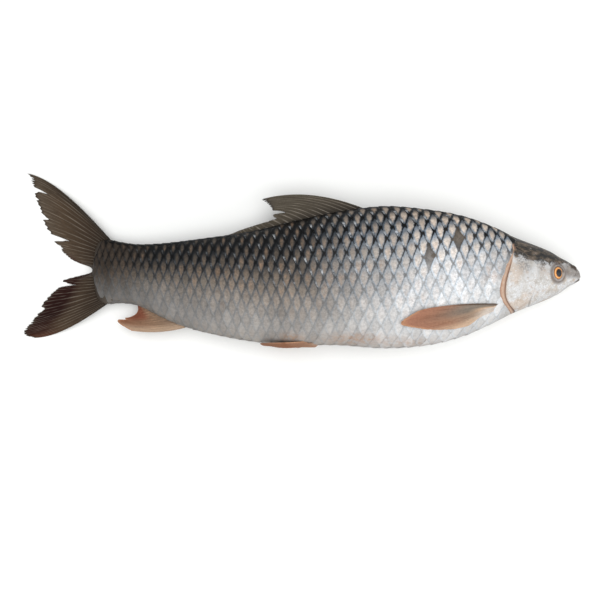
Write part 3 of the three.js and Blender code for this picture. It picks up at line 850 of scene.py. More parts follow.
def head_relief(points, behind, up, side, slit):
    """How far the head's skin stands off the plain form, in mm: mouth slit and lips, nostril, cheek
    crease, the seat under each gill cover and the eye socket. It also gives the distance from the
    eye's middle, and how far above it and behind it a place is."""
    nostril, crease = nostril_distance(behind, up), far_from(PREOPERCLE, behind, up)
    lift = -0.7 * bump(slit, 0.5) + 0.3 * bump(slit - 1.5, 0.9)
    lift += 0.45 * bump(nostril - 1.5, 0.6) - 0.6 * bump(nostril, 0.8)
    lift += -0.35 * bump(crease, 0.8) + 0.15 * bump(far_from(PREOPERCLE, behind + 2, up), 1.6)
    lift -= ease((1.0 - outline_share(behind, up)) / 0.08)
    away = np.full(behind.shape, 99.0)
    over, fore = np.zeros(behind.shape), np.zeros(behind.shape)
    for way in (1, -1):
        middle, ahead, rise, out = eye_frame(way)
        offset = points - middle
        here = (np.abs(offset @ out) < SOCKET_DEEP) & (side == way)
        away = np.where(here, np.hypot(offset @ ahead, offset @ rise), away)
        over = np.where(here, offset @ rise, over)
        fore = np.where(here, np.maximum(-offset @ ahead, 0), fore)
    lift += -2.6 * ease((5.2 - away) / 1.2) + 0.5 * bump(away - 6.1, 0.75) - 0.4 * bump(away - 8.0, 0.9)
    return lift, away, over, fore


def build_skin():
    """The skin from the snout to the tail fin's root: rings of the plain form, close together on the
    head, moved out along their normals by the head's relief, which fades over its last 6 mm."""
    q = np.concatenate([
        np.linspace(0, station(HEAD_END), 190)[:-1],
        station(np.linspace(HEAD_END, LENGTH, 120)),
    ])
    q[-1] = END
    q, turn = np.meshgrid(q, np.linspace(-math.pi / 2, 1.5 * math.pi, 221)[:-1], indexing="ij")
    points = skin(q, turn)
    behind = section(q)[0]
    up = points[..., 1] - AXIS_Y
    side = np.where(np.cos(turn) >= 0, 1, -1)
    slit = mouth_distance(points, behind, up, turn)
    lift, away, over, fore = head_relief(points, behind, up, side, slit)
    lift = lift * ease((HEAD_END - 2 - behind) / 6)
    vertices, faces = capped(kept_above(points + lift[..., None] * skin_normal(q, turn), 0.3))
    snoutward = ease((15 - away) / 6) * bump(over - 1.0, 4.5) * ease(1 - fore / 3)
    fields = {
        "along": behind / LENGTH,
        "rise": rise_at(behind, arc_at(behind, turn)),
        "crown": crown_share(behind, up),
        "bare": (side > 0) * lost_patch(behind, up),
        "head": ease((read_off(SCALE_FRONT, up) + 2.5 - behind) / 2.5),
        "muzzle": ease((19 - behind) / 13) * mix(0.5 * ease((5 - behind) / 4), 1, ease((up + 6) / 5)),
        "socket": 0.85 * np.maximum(ease((10.6 - away) / 3.4), 0.85 * snoutward)
        * mix(0.55, 1, ease((away - 5.6) / 1.6)),
        "smudge": 0.8 * bump(np.hypot((behind - 38) / 8, (up - 4) / 6), 1),
        # dark: painted shade in the mouth slit, the nostril pit, the cheek crease and the groove round the
        # eye, with the lips' own dusky colour round the slit.
        "dark": np.max([
            0.9 * bump(slit, 0.6) + 0.3 * bump(slit, 1.8),
            0.7 * bump(nostril_distance(behind, up), 0.9),
            0.5 * bump(far_from(PREOPERCLE, behind, up), 0.6),
            0.9 * bump(away - 5.3, 0.45) * ease(over / 3 + 0.4),
        ], axis=0),
    }
    fields = {key: with_ends(value) for key, value in fields.items()}
    return put_mesh("body_skin", vertices, faces, skin_material(), node="body", slot="skin", values=fields)


# ---- the scales ----

# As (mm behind the snout, mm): how far apart scales lie along a row, and rows from each other.
SCALE_PITCH = [(60, 9.0), (110, 9.4), (160, 9.3), (277, 7.7), (353, 7.2), (385, 6.0), (402, 4.6)]
SCALE_ROW = [(60, 8.6), (110, 9.6), (150, 9.95), (277, 9.4), (353, 8.4), (402, 6.8)]
FIRST_SCALE = 55
COUNT_BEHIND = np.linspace(FIRST_SCALE, LENGTH, 1200)
COUNT_AT = np.append(0, np.cumsum(np.diff(COUNT_BEHIND) / read_off(SCALE_PITCH, COUNT_BEHIND[:-1])))
PLATE_ACROSS = np.array([-1, -0.7, -0.36, 0, 0.36, 0.7, 1.0])
PLATE_ALONG = np.array([0, 0.34, 0.66, 0.92, 1.0])
EDGE_FROM = 0.97  # the last points along a plate are its free edge


def scale_plates(name, side, sizes, material, seed):
    """Lays one flank's scales, or with side 0 the two midline rows. Each is a closed plate in pitches
    along and rows across: its free edge is 0.52 behind its middle less 0.56 times the distance
    across to the power 1.35, and its top sinks towards the front, under the scale before it."""
    rng = np.random.default_rng(seed)
    number, row = np.meshgrid(np.arange(46), np.arange(-9, 11), indexing="ij")
    number = number + 0.5 * (row % 2)
    behind = np.interp(number, COUNT_AT, COUNT_BEHIND, right=999)
    real = behind < LENGTH - 2
    behind = np.where(real, behind, LENGTH)
    step = read_off(SCALE_ROW, behind)
    back = arc_at(behind, math.pi / 2)
    if side:
        arc = lateral_arc(behind, side) + side * row * step
        belly = 0.0 if side > 0 else arc_at(behind, 1.5 * math.pi)
        real &= (side * (back - arc) > 0.42 * step) & (side * (arc - belly) > 0.42 * step)
    else:
        real &= (row == 0) | (row == 1)
        arc = np.where(row == 1, back, 0.0)
    up = skin(station(behind), turn_of_arc(behind, arc))[..., 1] - AXIS_Y
    tail_end = 400.5 - 11.0 * ((up - 4) / 27) ** 2
    real &= (behind > read_off(SCALE_FRONT, up) + 1.5) & (behind < tail_end)
    if side > 0:
        for lost in LOST_SCALES:
            away = np.where(real, np.hypot(behind - lost[0], up - lost[1]), 999)
            real &= away > away.min()

    number, row = (values[real][:, None, None] for values in (number, row))
    size, tilt, skew = (
        rng.uniform(middle - spread, middle + spread, number.shape)
        for middle, spread in ((1, 0.04), (0, 0.035), (0, 0.03)))
    s, t = PLATE_ACROSS[None, :, None], PLATE_ALONG[None, None, :]
    rear = 0.52 - 0.56 * np.abs(s) ** 1.35
    fore = -1.2 + 0.75 * s**2
    alpha = (mix(fore, rear, t) + skew * s) * size
    beta = 1.06 * s * size + 0 * alpha
    at = number + alpha
    place = np.where(at < 0, FIRST_SCALE + at * 8.6, np.interp(at, COUNT_AT, COUNT_BEHIND))
    place = np.minimum(place + np.maximum(at - COUNT_AT[-1], 0) * 4, LENGTH - 0.3)
    across = read_off(SCALE_ROW, place)
    if side:
        arc = lateral_arc(place, side) + side * (row + beta) * across
    else:
        arc = np.where(row == 1, arc_at(place, math.pi / 2), 0) + 0.62 * beta * across
    q, turn = station(place), turn_of_arc(place, arc)
    rise = rise_at(place, np.clip(arc, 0, arc_at(place, 1.5 * math.pi)))
    base, normal = skin(q, turn), skin_normal(q, turn)
    lift = sizes.scale_lift * MM * np.interp(place, [60, 120, 330, 395], [0.85, 1.0, 0.85, 0.5])
    sink = (rear - mix(fore, rear, t)) / 1.05
    top = lift * (1 - sink) * (1 - 0.6 * np.abs(s) ** 4) + tilt * s * 1.5 + (0 if side else 0.1)
    top = top - 0.07 * (t > EDGE_FROM)
    thick = sizes.scale_thickness * MM * np.where(t > EDGE_FROM, 0.8, 1.0) * (1 - 0.35 * np.abs(s) ** 3)
    up = base[..., 1] - AXIS_Y
    stain = sum(
        depth * bump(np.hypot((place - a) / long, (up - b) / high), 1) for depth, a, b, long, high in STAINS)
    # tip: how strong the painted highlight along each scale's lower rear edge is, by its place along the body
    # and up the flank.
    tip = np.interp(place, [75, 130, 230, 300], [0.4, 0.75, 0.55, 0.15])
    tip = tip * np.interp(rise, [-0.1, 0.25, 0.8, 0.95], [0.15, 0.9, 1.0, 0.3])
    fields = {
        "along": place / LENGTH,
        "rise": rise,
        "chance": rng.uniform(0, 1, number.shape),
        "tip": tip * rng.uniform(0.35, 1, number.shape),
        "hue": rng.uniform(0, 1, number.shape),
        "stain": stain * (1 if side > 0 else 0.5),
        "bare": (side > 0) * lost_patch(place, up),
    }
    return put_plates(
        name, base + top[..., None] * normal, base + (top - thick)[..., None] * normal, (0.03, 0.12),
        material, "scale", (alpha, beta), fields, slot="skin", sharp=50)


# ---- gill covers and membranes ----

COVER_RINGS = np.array([0.02, 0.12, 0.24, 0.36, 0.48, 0.6, 0.7, 0.79, 0.86, 0.91, 0.95, 0.98, 1.0])
COVER_COLUMNS = 120


def build_cover(name, side, sizes, material):
    """A bony plate over the cheek: rings shrunk from its outline towards its middle. Its outside
    rises from the cheek crease in front to a full rounded edge behind."""
    rings = COVER_RINGS[:, None]
    outline = np.concatenate([COVER_OUTLINE[-2:], COVER_OUTLINE, COVER_OUTLINE[:2]])
    share = (np.arange(COVER_COLUMNS) / COVER_COLUMNS * len(COVER_OUTLINE) + 2) / (len(outline) - 1)
    place = COVER_MIDDLE + rings[..., None] * (through(outline, share)[None] - COVER_MIDDLE)
    behind, up = place[..., 0], place[..., 1]
    rear = ease((behind - 44) / 10)
    lift = sizes.cover_lift * MM * mix(0.12, 1, rear) * mix(0.25, 1, ease((1 - rings) / 0.07))
    lift = lift + 0.25 * bump(rings - 0.93, 0.05) * rear
    lift += 0.14 * bump(far_from(COVER_RIDGE, behind, up), 1.5)
    lift -= 0.12 * bump(far_from(COVER_CREASE, behind, up), 0.9)
    upper = kept_above(on_flank(behind, up, side, lift), 0.1)
    lower = kept_above(on_flank(behind, up, side, np.full(lift.shape, -0.75)), 0.45)
    vertices, faces = capped(np.concatenate([upper, lower[::-1]]))
    crown = crown_share(behind, up)
    smudge = 0.9 * bump(np.hypot((behind - 52) / 7, (up - 5) / 6), 1)
    fields = {
        "crown": crown,
        "smudge": smudge + 0.5 * bump(np.hypot(behind - 57, up - 9), 3),
        "rim": ease((rings - 0.9) / 0.1) * mix(0.15, 0.85, rear)
        * (1 - ease(2.2 * crown) * ease((59.5 - behind) / 2)),
    }
    fields = {key: with_ends(np.concatenate([value, value[::-1]])) for key, value in fields.items()}
    return put_mesh(
        name + "_plate", vertices, faces, material, node=name, slot="gill_cover", values=fields, sharp=60)


def build_membrane(name, side, material):
    """The strip between the gill cover's edge and the shoulder: a low crowned band, proud by the
    sine of its width, whose ends taper away."""
    t = np.linspace(0, 1, 90)[:, None]
    v = np.linspace(0, 1, 9)[None, :]
    place = mix(through(COVER_REAR, t) - [0.9, 0.0], through(MEMBRANE_EDGE, t), v[..., None])
    lift = 0.1 + 0.5 * np.sin(np.pi * v**0.8) + 0.1 * np.sin(23 * t + 4 * v) * np.sin(np.pi * v)
    lift = lift * ease(np.minimum(t, 1 - t) / 0.08 + 0.1)
    upper, lower = (
        on_flank(place[..., 0], place[..., 1], side, height) for height in (lift, np.full(lift.shape, -0.6)))
    return put_plates(
        name, upper, lower, (0.15, 0.5), material, "strip", (t, v), slot="gill_cover", sharp=60)


# ---- the eyes ----

EYE_HALF = (6.4, 6.95, 4.5)  # half sizes forwards, up and out


def build_eye(way, side, material):
    """A lens-shaped ball: turned round its outward axis, with a half size along each of its axes.
    away is the share of its radius from the middle of the pupil."""
    middle, ahead, rise, out = eye_frame(side)
    polar = np.linspace(0.02, math.pi - 0.02, 40)[:, None, None]
    turn = np.linspace(0, 2 * math.pi, 65)[:-1][None, :, None]
    x, y, h = np.sin(polar) * np.cos(turn), np.sin(polar) * np.sin(turn), np.cos(polar)
    forwards, upwards, outwards = EYE_HALF
    points = middle + forwards * x * ahead + upwards * y * rise + outwards * h * out
    vertices, faces = capped(points)
    away = np.where(h > 0, 0.96 * np.hypot(x, y), 1.2)[..., 0]
    values = {"away": with_ends(away)}
    return put_mesh(f"{way}_eyeball", vertices, faces, material, node=f"{way}_eye", slot="eye", values=values)


# ---- the fins ----


def bowed(root, bend, tip, outward):
    """A ray from its root to its tip, bowed through a bend point: a quadratic Bezier."""
    stay = 1 - outward
    return stay**2 * root + 2 * stay * outward * bend + outward**2 * tip


def oval(share):
    """How far out the oval of a section reaches at a share of its height: 1 in its middle, and the
    same above it and below it."""
    return (1 - np.minimum(1, np.abs(share)) ** ROUNDNESS) ** (1 / ROUNDNESS)


def at_rim(behind, way):
    """The middle of the back (1) or of the belly (-1) at some mm behind the snout: x, y and z."""
    _, up, z, tall, _ = section(station(behind))
    return np.stack([SNOUT_X - behind, AXIS_Y + up + way * tall, z], -1)


TAIL_FIN_EDGE = [
    (0.96, 0.598), (0.87, 0.5), (0.78, 0.35), (0.62, 0.18), (0.44, 0.09), (0.12, 0.006),
    (0.52, -0.06), (0.65, -0.13), (0.88, -0.29), (1.0, -0.37), (0.88, -0.402),
]


def tail_centre(across, outward):
    """The tail fin fans from the rounded end of the body; its lobes sink to lie on the surface."""
    _, up, z, _, _ = section(station(0.985 * LENGTH))
    half = section(station(0.965 * LENGTH))[3]
    start = np.array([SNOUT_X - 0.985 * LENGTH, AXIS_Y + up])
    turn = np.pi * (0.5 - across)
    root = start + np.stack([12 * np.sin(turn) ** 2, half * 0.86 * np.sin(turn)], -1)
    tip = through(start + np.array(TAIL_FIN_EDGE) * [-66, 138], across)
    lobe = np.abs(across - 0.5) * 2
    bow = np.where(across < 0.5, 17, -12) * lobe**3
    bend = mix(root, tip, 0.66) + np.stack([0 * bow, bow], -1)
    flat = bowed(root, bend, tip, outward[..., None])
    return np.concatenate([flat, mix(z, 0.65, ease(outward * 1.25))[..., None] + 0 * flat[..., :1]], -1)


def dorsal_centre(across, outward):
    """The dorsal fin, folded back along the back with its first rays longest."""
    height, trail = 18.5, 24
    middle = at_rim(0.576 * LENGTH, 1)
    rear = at_rim(0.715 * LENGTH, 1)
    back = middle[0] - trail
    edge = [
        (back - 6, middle[1] + height * 0.95), (back - 4, middle[1] + height * 0.6),
        (back - 2, middle[1] + height * 0.25), (back - 14, middle[1] - height * 0.15),
        (rear[0] - 3, rear[1]),
    ]
    root = at_rim(mix(0.424, 0.715, across) * LENGTH, 1)
    z = root[..., 2]
    root = root[..., :2] - [0, 4]
    tip = through(edge, across)
    bend = mix(root, tip, 0.55)
    bend[..., 1] = mix(root[..., 1], tip[..., 1], 0.5) + height * 0.92 * (1 - ease(across))
    flat = bowed(root, bend, tip, outward[..., None])
    return np.concatenate([flat, (z - 3 * outward)[..., None]], -1)


ANAL_FIN_EDGE = [(0.945, 0.04), (1.0, 0.33), (0.91, 0.45), (0.81, 0.55), (0.75, 0.75), (0.73, 1.0)]


def anal_centre(across, outward):
    """The anal fin, swept back behind the vent."""
    start = at_rim(0.785 * LENGTH, -1)
    root = at_rim(mix(0.785, 0.905, across) * LENGTH, -1)
    z = root[..., 2]
    root = root[..., :2] + [0, 4]
    tip = through(start[:2] + np.array(ANAL_FIN_EDGE) * [-66, 18], across)
    bend = mix(root, tip, 0.5)
    bend[..., 1] -= 9 * (1 - ease(across))
    flat = bowed(root, bend, tip, outward[..., None])
    return np.concatenate([flat, (z - 4 * outward)[..., None]], -1)


PECTORAL_FIN_EDGE = [(0.75, 0.15), (0.92, 0.6), (0.98, 0.85), (0.94, 1.08), (0.72, 1.22), (0.5, 1.3)]


def paddle(across, outward):
    """The pectoral fin laid flat: x and y of a long rounded paddle, and where its root starts."""
    _, up, _, tall, _ = section(station(0.179 * LENGTH))
    start = np.array([SNOUT_X - 0.179 * LENGTH, AXIS_Y + up - 0.62 * tall])
    tip = through(start - np.array(PECTORAL_FIN_EDGE) * [80, 18], across)
    root = start + np.stack([6 - 2 * across, -7 * across], -1)
    bend = mix(root, tip, 0.5)
    bend[..., 1] += mix(4, -1, across)
    return bowed(root, bend, tip, outward[..., None]), start


def right_pectoral_centre(across, outward):
    """The right pectoral fin follows the flank, standing a little off it. Its last rays spring from
    high on the root, so the blade is narrow there."""
    across = across * mix(0.5, 0.9, ease(outward / 0.6))
    flat, _ = paddle(across, outward)

    def height(x, y):
        """The flank's height over the floor."""
        _, up, z, tall, wide = section(station(SNOUT_X - x))
        return z + wide * oval(np.abs((y - AXIS_Y - up) / tall))

    x, y = flat[..., 0], flat[..., 1]
    falls = height(x - 0.5, y) - height(x + 0.5, y), height(x, y - 0.5) - height(x, y + 0.5)
    off = mix(-1.9, 1.1, ease(outward * 4.5)) + 1.6 * outward
    return np.stack([x, y, height(x, y)], -1) + off[..., None] * unit(np.stack([*falls, 1 + 0 * x], -1))


def left_pectoral_centre(across, outward):
    """The left pectoral fin lies on the surface, tucked under the curve of the flank."""
    flat, start = paddle(across, outward)
    flat = flat + np.array([-5, 9]) * (1 - ease(outward * 4))[..., None]
    _, up, z, tall, wide = section(station(0.179 * LENGTH))
    low = z - wide * oval(abs((start[1] - 3 - AXIS_Y - up) / tall))
    turn = -0.16
    place = flat - start
    x = start[0] + place[..., 0] * math.cos(turn) - place[..., 1] * math.sin(turn)
    y = start[1] + place[..., 0] * math.sin(turn) + place[..., 1] * math.cos(turn)
    return np.stack([x, y, mix(low + 4, 1.3, ease(outward * 5))], -1)


def pelvic_centre(side):
    """A pelvic fin, folded against the belly edge on to the flank."""

    def centre(across, outward):
        """The fin's middle surface."""
        start = at_rim(0.535 * LENGTH, -1)
        back = start[0] - 48
        edge = [(back, start[1] + 2.6), (back + 3, start[1] - 0.8), (back + 14, start[1] - 3.6)]
        tip = through(edge, across)
        root = np.stack([start[0] - 2 + 4 * across, start[1] + mix(4, 3, across)], -1)
        bend = mix(root, tip, np.array([0.4, 0.6])) - [0, 2.4]
        flat = bowed(root, bend, tip, outward[..., None])
        _, up, z, tall, wide = section(station(SNOUT_X - flat[..., 0]))
        sideways = 6 + mix(7, -4, across) * ease(outward * 1.6) ** 0.7 + mix(2.2, -2.2, across)
        under = AXIS_Y + up - tall * oval(sideways / wide) - 1.6
        y = mix(flat[..., 1], np.minimum(flat[..., 1], under), ease(outward * 6))
        return np.stack([flat[..., 0], y, z + side * sideways], -1)

    return centre


FIN_THICK = (1.5, 0.5)  # at the root and at the free edge
FIN_STEP = 2e-3  # the step over which a fin's slopes are taken


def build_fin(name, centre, steps, rays, torn, material, sizes, seed, tints=None, fray=0.012):
    """A closed blade round the fin's middle surface. Each ray is a ridge along it, which forks into
    two past half way; joints cross the rays; the free edge ends where the torn outline says, with a
    fine fray."""
    across = np.linspace(0, 1, steps[0])[:, None]
    share = np.linspace(0, 1, steps[1])[None, :]
    rng = np.random.default_rng(seed)
    count = rays * 4 + 1
    teeth = -rng.uniform(0.1, 1, count) * (np.arange(count) % 2)
    ragged = np.interp(across, np.linspace(0, 1, count), teeth)
    outward = share * (read_off(torn, across) + fray * ragged)
    across = across + 0 * outward
    points = centre(across, outward)
    low, high = (np.clip(across + step, 0, 1) for step in (-FIN_STEP, FIN_STEP))
    over = centre(high, outward) - centre(low, outward)
    low, high = (np.clip(outward + step, 0, 1) for step in (-FIN_STEP, FIN_STEP))
    normal = unit(np.cross(over, centre(across, high) - centre(across, low)))
    single = np.abs(np.cos(np.pi * across * rays)) ** 6
    forked = np.abs(np.cos(2 * np.pi * across * rays)) ** 5
    ridge = mix(single, forked, ease((outward - 0.45) / 0.25))
    joints = 1 - 0.25 * (np.sin(outward * 70) > 0.9)
    leading = np.maximum(bump(across, 0.02), bump(1 - across, 0.02))
    relief = sizes.ray_relief * MM * np.maximum(ridge * joints, leading)
    body = mix(*FIN_THICK, outward) / 2
    taper = ease((1 - share) / 0.06 + 0.35)
    half = (body - 0.18 + relief * mix(1.0, 0.55, outward)) * taper
    wave = 0.35 * np.sin(across * 17 + outward * 5) * outward * ease(outward)
    upper = points + (half + wave)[..., None] * normal
    lower = points - (half * 0.85 - wave)[..., None] * normal
    fields = {"ridge": ridge, "rim": ease((share - 0.93) / 0.07)}
    if tints:
        fields["tint"], fields["tint_share"] = tints(across, outward)
    slot = "dusky_fin" if name.startswith(("dorsal", "tail")) else "ruddy_fin"
    return put_plates(
        name + "_blade", upper, lower, (0.12, 0.05), material, "fan", (across, outward), fields,
        node=name, slot=slot, sharp=70)


# The free edge of each fin, torn as (share of the way across, how far out along the rays).
TAIL_TORN = [
    (0, 0.99), (0.021, 0.947), (0.05, 0.99), (0.083, 0.976), (0.089, 0.76), (0.11, 1.01), (0.145, 1.015),
    (0.178, 0.983), (0.198, 0.983), (0.209, 0.875), (0.219, 1.005), (0.248, 1.0), (0.266, 0.943),
    (0.274, 0.563), (0.296, 0.97), (0.324, 0.873), (0.36, 0.97), (0.395, 0.954), (0.429, 1.06), (0.448, 1.08),
    (0.468, 0.828), (0.495, 1.05), (0.54, 1.06), (0.595, 1.015), (0.641, 0.523), (0.653, 0.902),
    (0.693, 0.954), (0.731, 1.03), (0.753, 1.008), (0.764, 0.887), (0.771, 0.979), (0.799, 0.994),
    (0.86, 1.0), (0.895, 1.0), (0.962, 1.03), (1, 0.99),
]
DORSAL_TORN = [
    (0, 1.0), (0.148, 0.951), (0.413, 0.844), (0.45, 0.508), (0.515, 0.766), (0.545, 0.7), (0.569, 0.508),
    (0.65, 0.62), (0.727, 0.745), (0.867, 0.987), (1, 0.97),
]
ANAL_TORN = [
    (0, 0.85), (0.12, 0.92), (0.348, 1.05), (0.43, 0.98), (0.52, 1.1), (0.671, 1.06), (0.816, 1.0), (1, 0.82),
]
PECTORAL_TORN = [
    (0, 1.0), (0.03, 1.07), (0.27, 1.05), (0.48, 0.99), (0.68, 0.88), (0.87, 0.82), (0.97, 0.74), (1, 0.62),
]
PELVIC_TORN = [(0, 0.86), (0.08, 0.95), (0.22, 1.0), (0.45, 0.96), (0.7, 0.84), (0.9, 0.7), (1, 0.58)]


def tail_tints(across, outward):
    """Dusk of the upper lobe (0) to blood-red of the lower (1), and how much it shows."""
    low = ease((across - 0.48) / 0.06)
    starts = np.interp(across, [0.5, 0.62, 0.8, 0.9, 1.0], [0.5, 0.28, 0.32, 0.44, 0.5])
    edge = ease((outward - starts) / 0.3)
    share = low * edge + (1 - low) * ease((across - 0.3) / 0.12) * ease((outward - 0.6) / 0.3) * 0.8
    share = np.maximum(share, 0.9 * ease((0.11 - across) / 0.09) * ease(1.2 - outward))
    return across, share


def anal_tints(across, outward):
    """Pale tan of the leading edge (0) to the red of the rear upper web (1)."""
    pale = ease((0.3 - across) / 0.25)
    red = ease((across - 0.35) / 0.25) * ease((outward - 0.3) / 0.35)
    return ease((across - 0.2) / 0.3), np.maximum(0.75 * pale, 0.85 * red)


def pectoral_tints(across, outward):
    """Painted shadow line along the leading edge near the root (0), grey upper front (0.15), tan lower edge
    (0.6) and pale root (1), and how much each shows."""
    grey = ease((0.85 - outward) / 0.5) * ease((0.75 - across) / 0.5)
    tan = np.maximum(ease((across - 0.68) / 0.3), ease((across - 0.4) / 0.3) * ease((0.45 - outward) / 0.3))
    root = ease((0.42 - outward) / 0.26) * ease((across - 0.1) / 0.3)
    tint = mix(mix(0.15, 0.6, ease((across - 0.4) / 0.3)), 1.0, root)
    painted_shadow_line = ease((0.06 - across) / 0.04) * ease((0.8 - outward) / 0.3)
    return tint * (1 - painted_shadow_line), np.max([grey, 0.8 * tan, 0.9 * root, 0.85 * painted_shadow_line], axis=0)


# ---- the studio ----


def soft_light(name, place, aim, side, watts, glossy=True):
    """A square softbox that faces a point."""
    lamp = bpy.data.lights.new(name, "AREA")
    lamp.shape, lamp.size, lamp.energy = "SQUARE", side, watts
    holder = bpy.data.objects.new(name, lamp)
    holder.location = place
    x, y, z = np.array(aim, float) - place
    flat = math.hypot(x, y)
    holder.rotation_euler = (math.atan2(flat, -z), 0, math.atan2(-x, y) if flat > 1e-6 else 0)
    holder.visible_glossy = glossy
    bpy.context.scene.collection.objects.link(holder)


CAMERA_PLACE = (0.001, -0.0331, 0.701)
ROOM_COLOUR = (0.96, 0.98, 1.0, 1.0)
FLOOR_TICKS = 9


def build_studio(sizes, colours):
    """The floor, a big softbox overhead, two small ones, a pale room and the camera above the fish."""
    scene = bpy.context.scene
    scene.view_settings.view_transform = "Standard"
    half = sizes.floor_size * MM / 2
    ticks = np.linspace(-half, half, FLOOR_TICKS)
    x, y = (ticks.ravel() for ticks in np.meshgrid(ticks, ticks, indexing="ij"))
    points, faces = np.stack([x, y, 0 * x], -1), [grid_quads(FLOOR_TICKS, FLOOR_TICKS)]
    floor = put_mesh("studio_floor", points, faces, floor_material(colours.floor), body=None)
    floor.visible_glossy = False
    soft_light("softbox_above", (0.0, 0.0, 2.2), (0, 0, 0), 3.0, 52, glossy=False)
    soft_light("softbox_head", (0.95, -0.35, 0.75), (0.1, 0, 0.03), 1.2, 2.2)
    soft_light("strip_belly", (0.1, -1.3, 0.9), (0, 0, 0.03), 0.8, 2.5)
    world = bpy.data.worlds.new("studio_room")
    world.use_nodes = True
    glow = world.node_tree.nodes["Background"].inputs
    glow["Color"].default_value, glow["Strength"].default_value = ROOM_COLOUR, 0.42
    scene.world = world
    camera = bpy.data.cameras.new("view_camera")
    camera.lens, camera.sensor_width = 50, 36
    holder = bpy.data.objects.new("view_camera", camera)
    holder.location = CAMERA_PLACE
    scene.collection.objects.link(holder)
    scene.camera = holder


# ---- operators ----


def settings():
    """The sizes and colours of this scene."""
    scene = bpy.context.scene
    return scene.carp_sizes, scene.carp_colours


class CARP_OT_skin(bpy.types.Operator):
    """Builds the bare skin of head and trunk"""

    bl_idname = "carp.skin"
    bl_label = "Skin"

    def execute(self, context):
        build_skin()
        return {"FINISHED"}


class CARP_OT_scales(bpy.types.Operator):
    """Lays the scales of both flanks and of the back and belly midlines"""

    bl_idname = "carp.scales"
    bl_label = "Scales"

    def execute(self, context):
        sizes, _ = settings()
        material = scale_material()
        for name, side, seed in (("right", 1, 11), ("left", -1, 12), ("midline", 0, 13)):
            scale_plates(f"scales_{name}", side, sizes, material, seed)
        return {"FINISHED"}


class CARP_OT_gill_covers(bpy.types.Operator):
    """Builds both gill covers and the membranes behind them"""

    bl_idname = "carp.gill_covers"
    bl_label = "Gill covers"

    def execute(self, context):
        sizes, colours = settings()
        bone, raw = cover_material(), membrane_material(colours.membrane)
        for way, side in (("right", 1), ("left", -1)):
            build_cover(f"{way}_gill_cover", side, sizes, bone)
            build_membrane(f"{way}_gill_membrane", side, raw)
        return {"FINISHED"}


class CARP_OT_eyes(bpy.types.Operator):
    """Builds both eyes"""

    bl_idname = "carp.eyes"
    bl_label = "Eyes"

    def execute(self, context):
        material = eye_material(settings()[1].iris)
        build_eye("right", 1, material)
        build_eye("left", -1, material)
        return {"FINISHED"}


class CARP_OT_dusky_fins(bpy.types.Operator):
    """Builds the dorsal fin and the tail fin"""

    bl_idname = "carp.dusky_fins"
    bl_label = "Dorsal and tail fins"

    def execute(self, context):
        sizes, _ = settings()
        dorsal = fin_material(
            "dorsal_fin_web_wet", [(0.0, "#28231e"), (0.3, "#474036"), (0.8, "#4d463b"), (1.0, "#453e35")],
            "#9a9186", 40, edge="#3a3530", streaks=0.6)
        tail = fin_material(
            "tail_fin_web_wet", [(0.0, "#1f1811"), (0.25, "#372b20"), (0.6, "#4a3c2e"), (1.0, "#51463a")],
            "#8d8478", 60, edge="#3c3229",
            patch=[
                (0.0, "#241e18"), (0.12, "#3a3128"), (0.3, "#4a3f34"), (0.4, "#3a1f16"), (0.55, "#2a0f09"),
                (0.8, "#200a06"), (0.93, "#2e130a"), (1.0, "#4c2714")],
            streaks=0.4)
        build_fin("dorsal_fin", dorsal_centre, (300, 40), 20, DORSAL_TORN, dorsal, sizes, 21, fray=0.04)
        build_fin("tail_fin", tail_centre, (560, 56), 34, TAIL_TORN, tail, sizes, 22, tail_tints, fray=0.07)
        return {"FINISHED"}


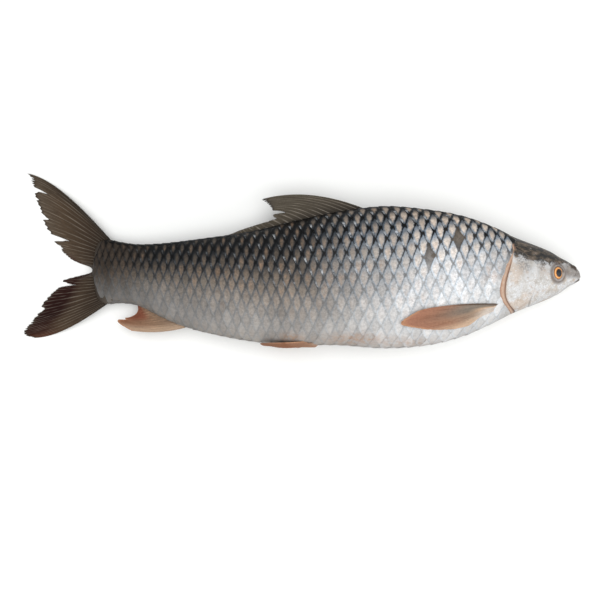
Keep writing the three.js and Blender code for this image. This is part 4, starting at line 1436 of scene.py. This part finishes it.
class CARP_OT_ruddy_fins(bpy.types.Operator):
    """Builds the anal, pectoral and pelvic fins"""

    bl_idname = "carp.ruddy_fins"
    bl_label = "Anal, pectoral and pelvic fins"

    def execute(self, context):
        sizes, colours = settings()
        web = [(0.0, "#7a6858"), (0.4, "#826853"), (0.75, "#85624c"), (1.0, "#84563f")]
        anal = fin_material(
            "anal_fin_web_raw", web, "#a98468", 24, edge="#a87a5c",
            patch=[(0.0, "#b39a83"), (1.0, "#76402f")], streaks=0.4)
        pectoral = fin_material(
            "pectoral_fin_web_raw",
            [(0.0, "#a59a8e"), (0.15, "#8d8073"), (0.35, "#877464"), (0.6, "#936c56"), (1.0, "#a0705a")],
            "#bd9c82", 34, edge="#b98a6a",
            # The first patch stop is the painted shadow line along the leading edge.
            patch=[(0.0, "#453529"), (0.15, "#7b7268"), (0.6, "#cdb197"), (1.0, "#dad1c8")], streaks=0.35)
        pelvic = fin_material(
            "pelvic_fin_web_raw", [(0.0, "#b3a598"), (0.14, "#94745f"), (0.6, "#87593f"), (1.0, "#83604d")],
            "#b98d70", 22, streaks=0.8)
        build_fin("anal_fin", anal_centre, (200, 40), 13, ANAL_TORN, anal, sizes, 23, anal_tints)
        pectorals = ("right", right_pectoral_centre, 24), ("left", left_pectoral_centre, 25)
        for way, centre, seed in pectorals:
            name = f"{way}_pectoral_fin"
            build_fin(name, centre, (260, 50), 17, PECTORAL_TORN, pectoral, sizes, seed, pectoral_tints)
        for way, side, seed in (("right", 1, 26), ("left", -1, 27)):
            name = f"{way}_pelvic_fin"
            build_fin(name, pelvic_centre(side), (120, 36), 9, PELVIC_TORN, pelvic, sizes, seed)
        return {"FINISHED"}


class CARP_OT_studio(bpy.types.Operator):
    """Sets the floor, the lights and the camera"""

    bl_idname = "carp.studio"
    bl_label = "Studio"

    def execute(self, context):
        build_studio(*settings())
        return {"FINISHED"}


OPERATORS = (
    CARP_OT_skin,
    CARP_OT_scales,
    CARP_OT_gill_covers,
    CARP_OT_eyes,
    CARP_OT_dusky_fins,
    CARP_OT_ruddy_fins,
    CARP_OT_studio,
)


class CARP_PT_panel(bpy.types.Panel):
    """The carp's sizes, colours and pieces"""

    bl_label = "River carp"
    bl_idname = "CARP_PT_panel"
    bl_space_type = "VIEW_3D"
    bl_region_type = "UI"
    bl_category = "Carp"

    def draw(self, context):
        for group in settings():
            for name in group.bl_rna.properties.keys():
                if name not in ("rna_type", "name"):
                    self.layout.prop(group, name)
        for operator in OPERATORS:
            self.layout.operator(operator.bl_idname)


CLASSES = (CarpSizes, CarpColours, *OPERATORS, CARP_PT_panel)


def register():
    """Makes the classes known and ties the settings to the scene."""
    for made in CLASSES:
        bpy.utils.register_class(made)
    bpy.types.Scene.carp_sizes = bpy.props.PointerProperty(type=CarpSizes)
    bpy.types.Scene.carp_colours = bpy.props.PointerProperty(type=CarpColours)


def unregister():
    """Undoes register()."""
    del bpy.types.Scene.carp_colours
    del bpy.types.Scene.carp_sizes
    for made in reversed(CLASSES):
        bpy.utils.unregister_class(made)


def main():
    """Builds every piece in order."""
    register()
    bpy.ops.carp.skin()
    bpy.ops.carp.scales()
    bpy.ops.carp.gill_covers()
    bpy.ops.carp.eyes()
    bpy.ops.carp.dusky_fins()
    bpy.ops.carp.ruddy_fins()
    bpy.ops.carp.studio()


if __name__ == "__main__":
    main()
